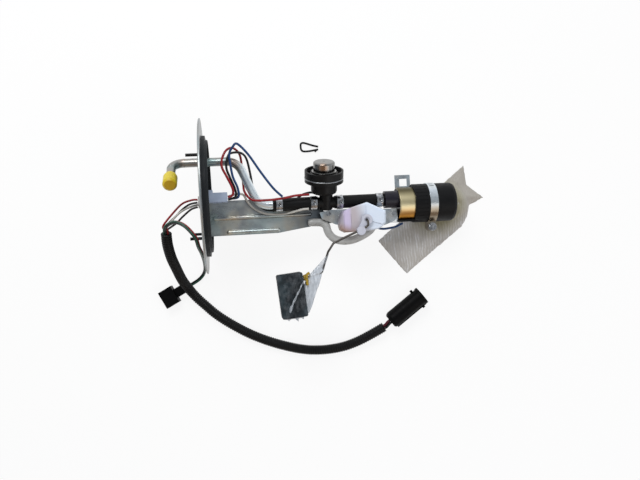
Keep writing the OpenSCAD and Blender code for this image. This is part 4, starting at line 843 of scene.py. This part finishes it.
# Two and a half turns, how far one goes along the arm, and how far back they begin
TIE_POINTS, POINTS_PER_TURN, TIE_RISE, TIE_START = 31, 12, 1.1, 1.4
tie_axis = (arm_route[AT_TIE] - arm_route[BEFORE_TIE]).normalized()
tie_up = (Vector((0, 0, 1)) - tie_axis * tie_axis.z).normalized()
tie_side = tie_axis.cross(tie_up)
turns = []
for k in range(TIE_POINTS):
    turn = 2 * math.pi * k / POINTS_PER_TURN
    turns.append(TIE + tie_axis * (TIE_RISE * k / POINTS_PER_TURN - TIE_START)
                 + TIE_R * (math.cos(turn) * tie_up + math.sin(turn) * tie_side))
strand("twist_tie_turns", [laid(*p) for p in turns], TIE_D, tie_paper, "bag_tie",
       "float_swing")
for name, way_out in (("upper", ((0, 0.5), (0.8, 4.6), (3.6, 6.4))),
                      ("lower", ((0, 0), (0.2, -3.5), (1, -6.8)))):
    line = rounded([laid(*(TIE + Vector((x, y, TIE_UP)))) for x, y in way_out], 4)
    strand("twist_tie_end_" + name, line, TIE_END_D, tie_paper, None,
           "float_swing")
# A twisted fold from the tie down across the float
fold_line = rounded([laid(*p) for p in (
    TIE + Vector((0.5, -1.5, 4)), float_spot(12.5, 12, 9.5), float_spot(9, 7, 12.2),
    float_spot(4.5, 0.5, 12.5), float_spot(0.5, -5.5, 12.4), float_spot(-3, -11.5, 12.2),
    float_spot(-5.2, -17, 11.6))], 8)
fold_length = run_length(fold_line)


def fold_wall(gone, k):
    """A fold that widens from the tie, its ridges twisted round it."""
    return MM * (0.35 + 0.9 * gone / fold_length) * (1 + 0.4 * math.sin(gone / MM * 0.7 + k))


fold = rings("float_bag_fold", fold_line, fold_wall, 12, fold_film, "float_swing")


# ---- floor and light ---------------------------------------------------------------------

# The bench paper: seen by the camera, in metal and through film, most of it is plain light, so
# that it is even; the rest takes the object's shadow
PAPER_GLOW, PAPER_REACH = 0.87, 6
paper, tree, shader = finish("matt_white_paper", Roughness=0.9)
shader.inputs["Base Color"].default_value = colour("#F4F4F4")
glow = add(tree, "Emission", {"Color": (1, 1, 1, 1), "Strength": 1.0})
path = add(tree, "LightPath")
seen = add(tree, "Math", {0: path.outputs["Is Camera Ray"], 1: path.outputs["Is Glossy Ray"]},
           operation="MAXIMUM")
seen = add(tree, "Math", {0: seen.outputs[0], 1: path.outputs["Is Transmission Ray"]},
           operation="MAXIMUM")
share = add(tree, "Math", {0: seen.outputs[0], 1: PAPER_GLOW}, operation="MULTIPLY")
blend = add(tree, "MixShader", {0: share.outputs[0], 1: shader.outputs[0], 2: glow.outputs[0]})
tree.links.new(blend.outputs[0], tree.nodes["Material Output"].inputs["Surface"])
floor_mesh = bmesh.new()
bmesh.ops.create_grid(floor_mesh, x_segments=1, y_segments=1, size=PAPER_REACH)
floor_data = bpy.data.meshes.new("bench_paper")
floor_mesh.to_mesh(floor_data)
floor_mesh.free()
floor_data.materials.append(paper)
floor = bpy.data.objects.new("bench_paper", floor_data)
scene.collection.objects.link(floor)

# Light of the studio round the bench: pale walls, a darker ceiling, and a warm wooden wall in front
WALL_LIGHT, CEILING_LIGHT, WOOD_LIGHT = (
    (0.92, 0.95, 1.0, 1), (0.34, 0.36, 0.38, 1), (0.42, 0.31, 0.22, 1))
world = bpy.data.worlds.new("studio")
scene.world = world
world.use_nodes = True
tree, sky = world.node_tree, world.node_tree.nodes["Background"]
way = add(tree, "SeparateXYZ", {0: add(tree, "TexCoord").outputs["Generated"]})
height = add(tree, "MapRange", {"Value": way.outputs["Z"], "From Min": 0.1, "From Max": 0.95})
room = add(tree, "Mix", {"Factor": height.outputs[0], 6: WALL_LIGHT, 7: CEILING_LIGHT},
           data_type="RGBA")
front = add(tree, "MapRange", {"Value": way.outputs["Y"], "From Min": -0.25, "From Max": -0.85,
                               "To Max": 0.85})
wood = add(tree, "Mix", {"Factor": front.outputs[0], 6: room.outputs[2], 7: WOOD_LIGHT},
           data_type="RGBA")
tree.links.new(wood.outputs[2], sky.inputs["Color"])


def softbox(name, at, towards, width, height, power):
    """A rectangular lamp, in metres and watts, that faces a point."""
    data = bpy.data.lights.new(name, "AREA")
    data.shape, data.size, data.size_y, data.energy = "RECTANGLE", width, height, power
    lamp = bpy.data.objects.new(name, data)
    scene.collection.objects.link(lamp)
    lamp.location = at
    lamp.rotation_euler = (Vector(towards) - Vector(at)).to_track_quat("-Z", "Y").to_euler()


softbox("key_softbox", (-0.25, 0.75, 0.95), (0, 0, 0.05), 0.7, 0.45, 8)
softbox("fill_softbox", (0.6, -0.6, 0.9), (0, 0, 0.05), 0.8, 0.8, 2.5)

scene.view_settings.view_transform = "Standard"
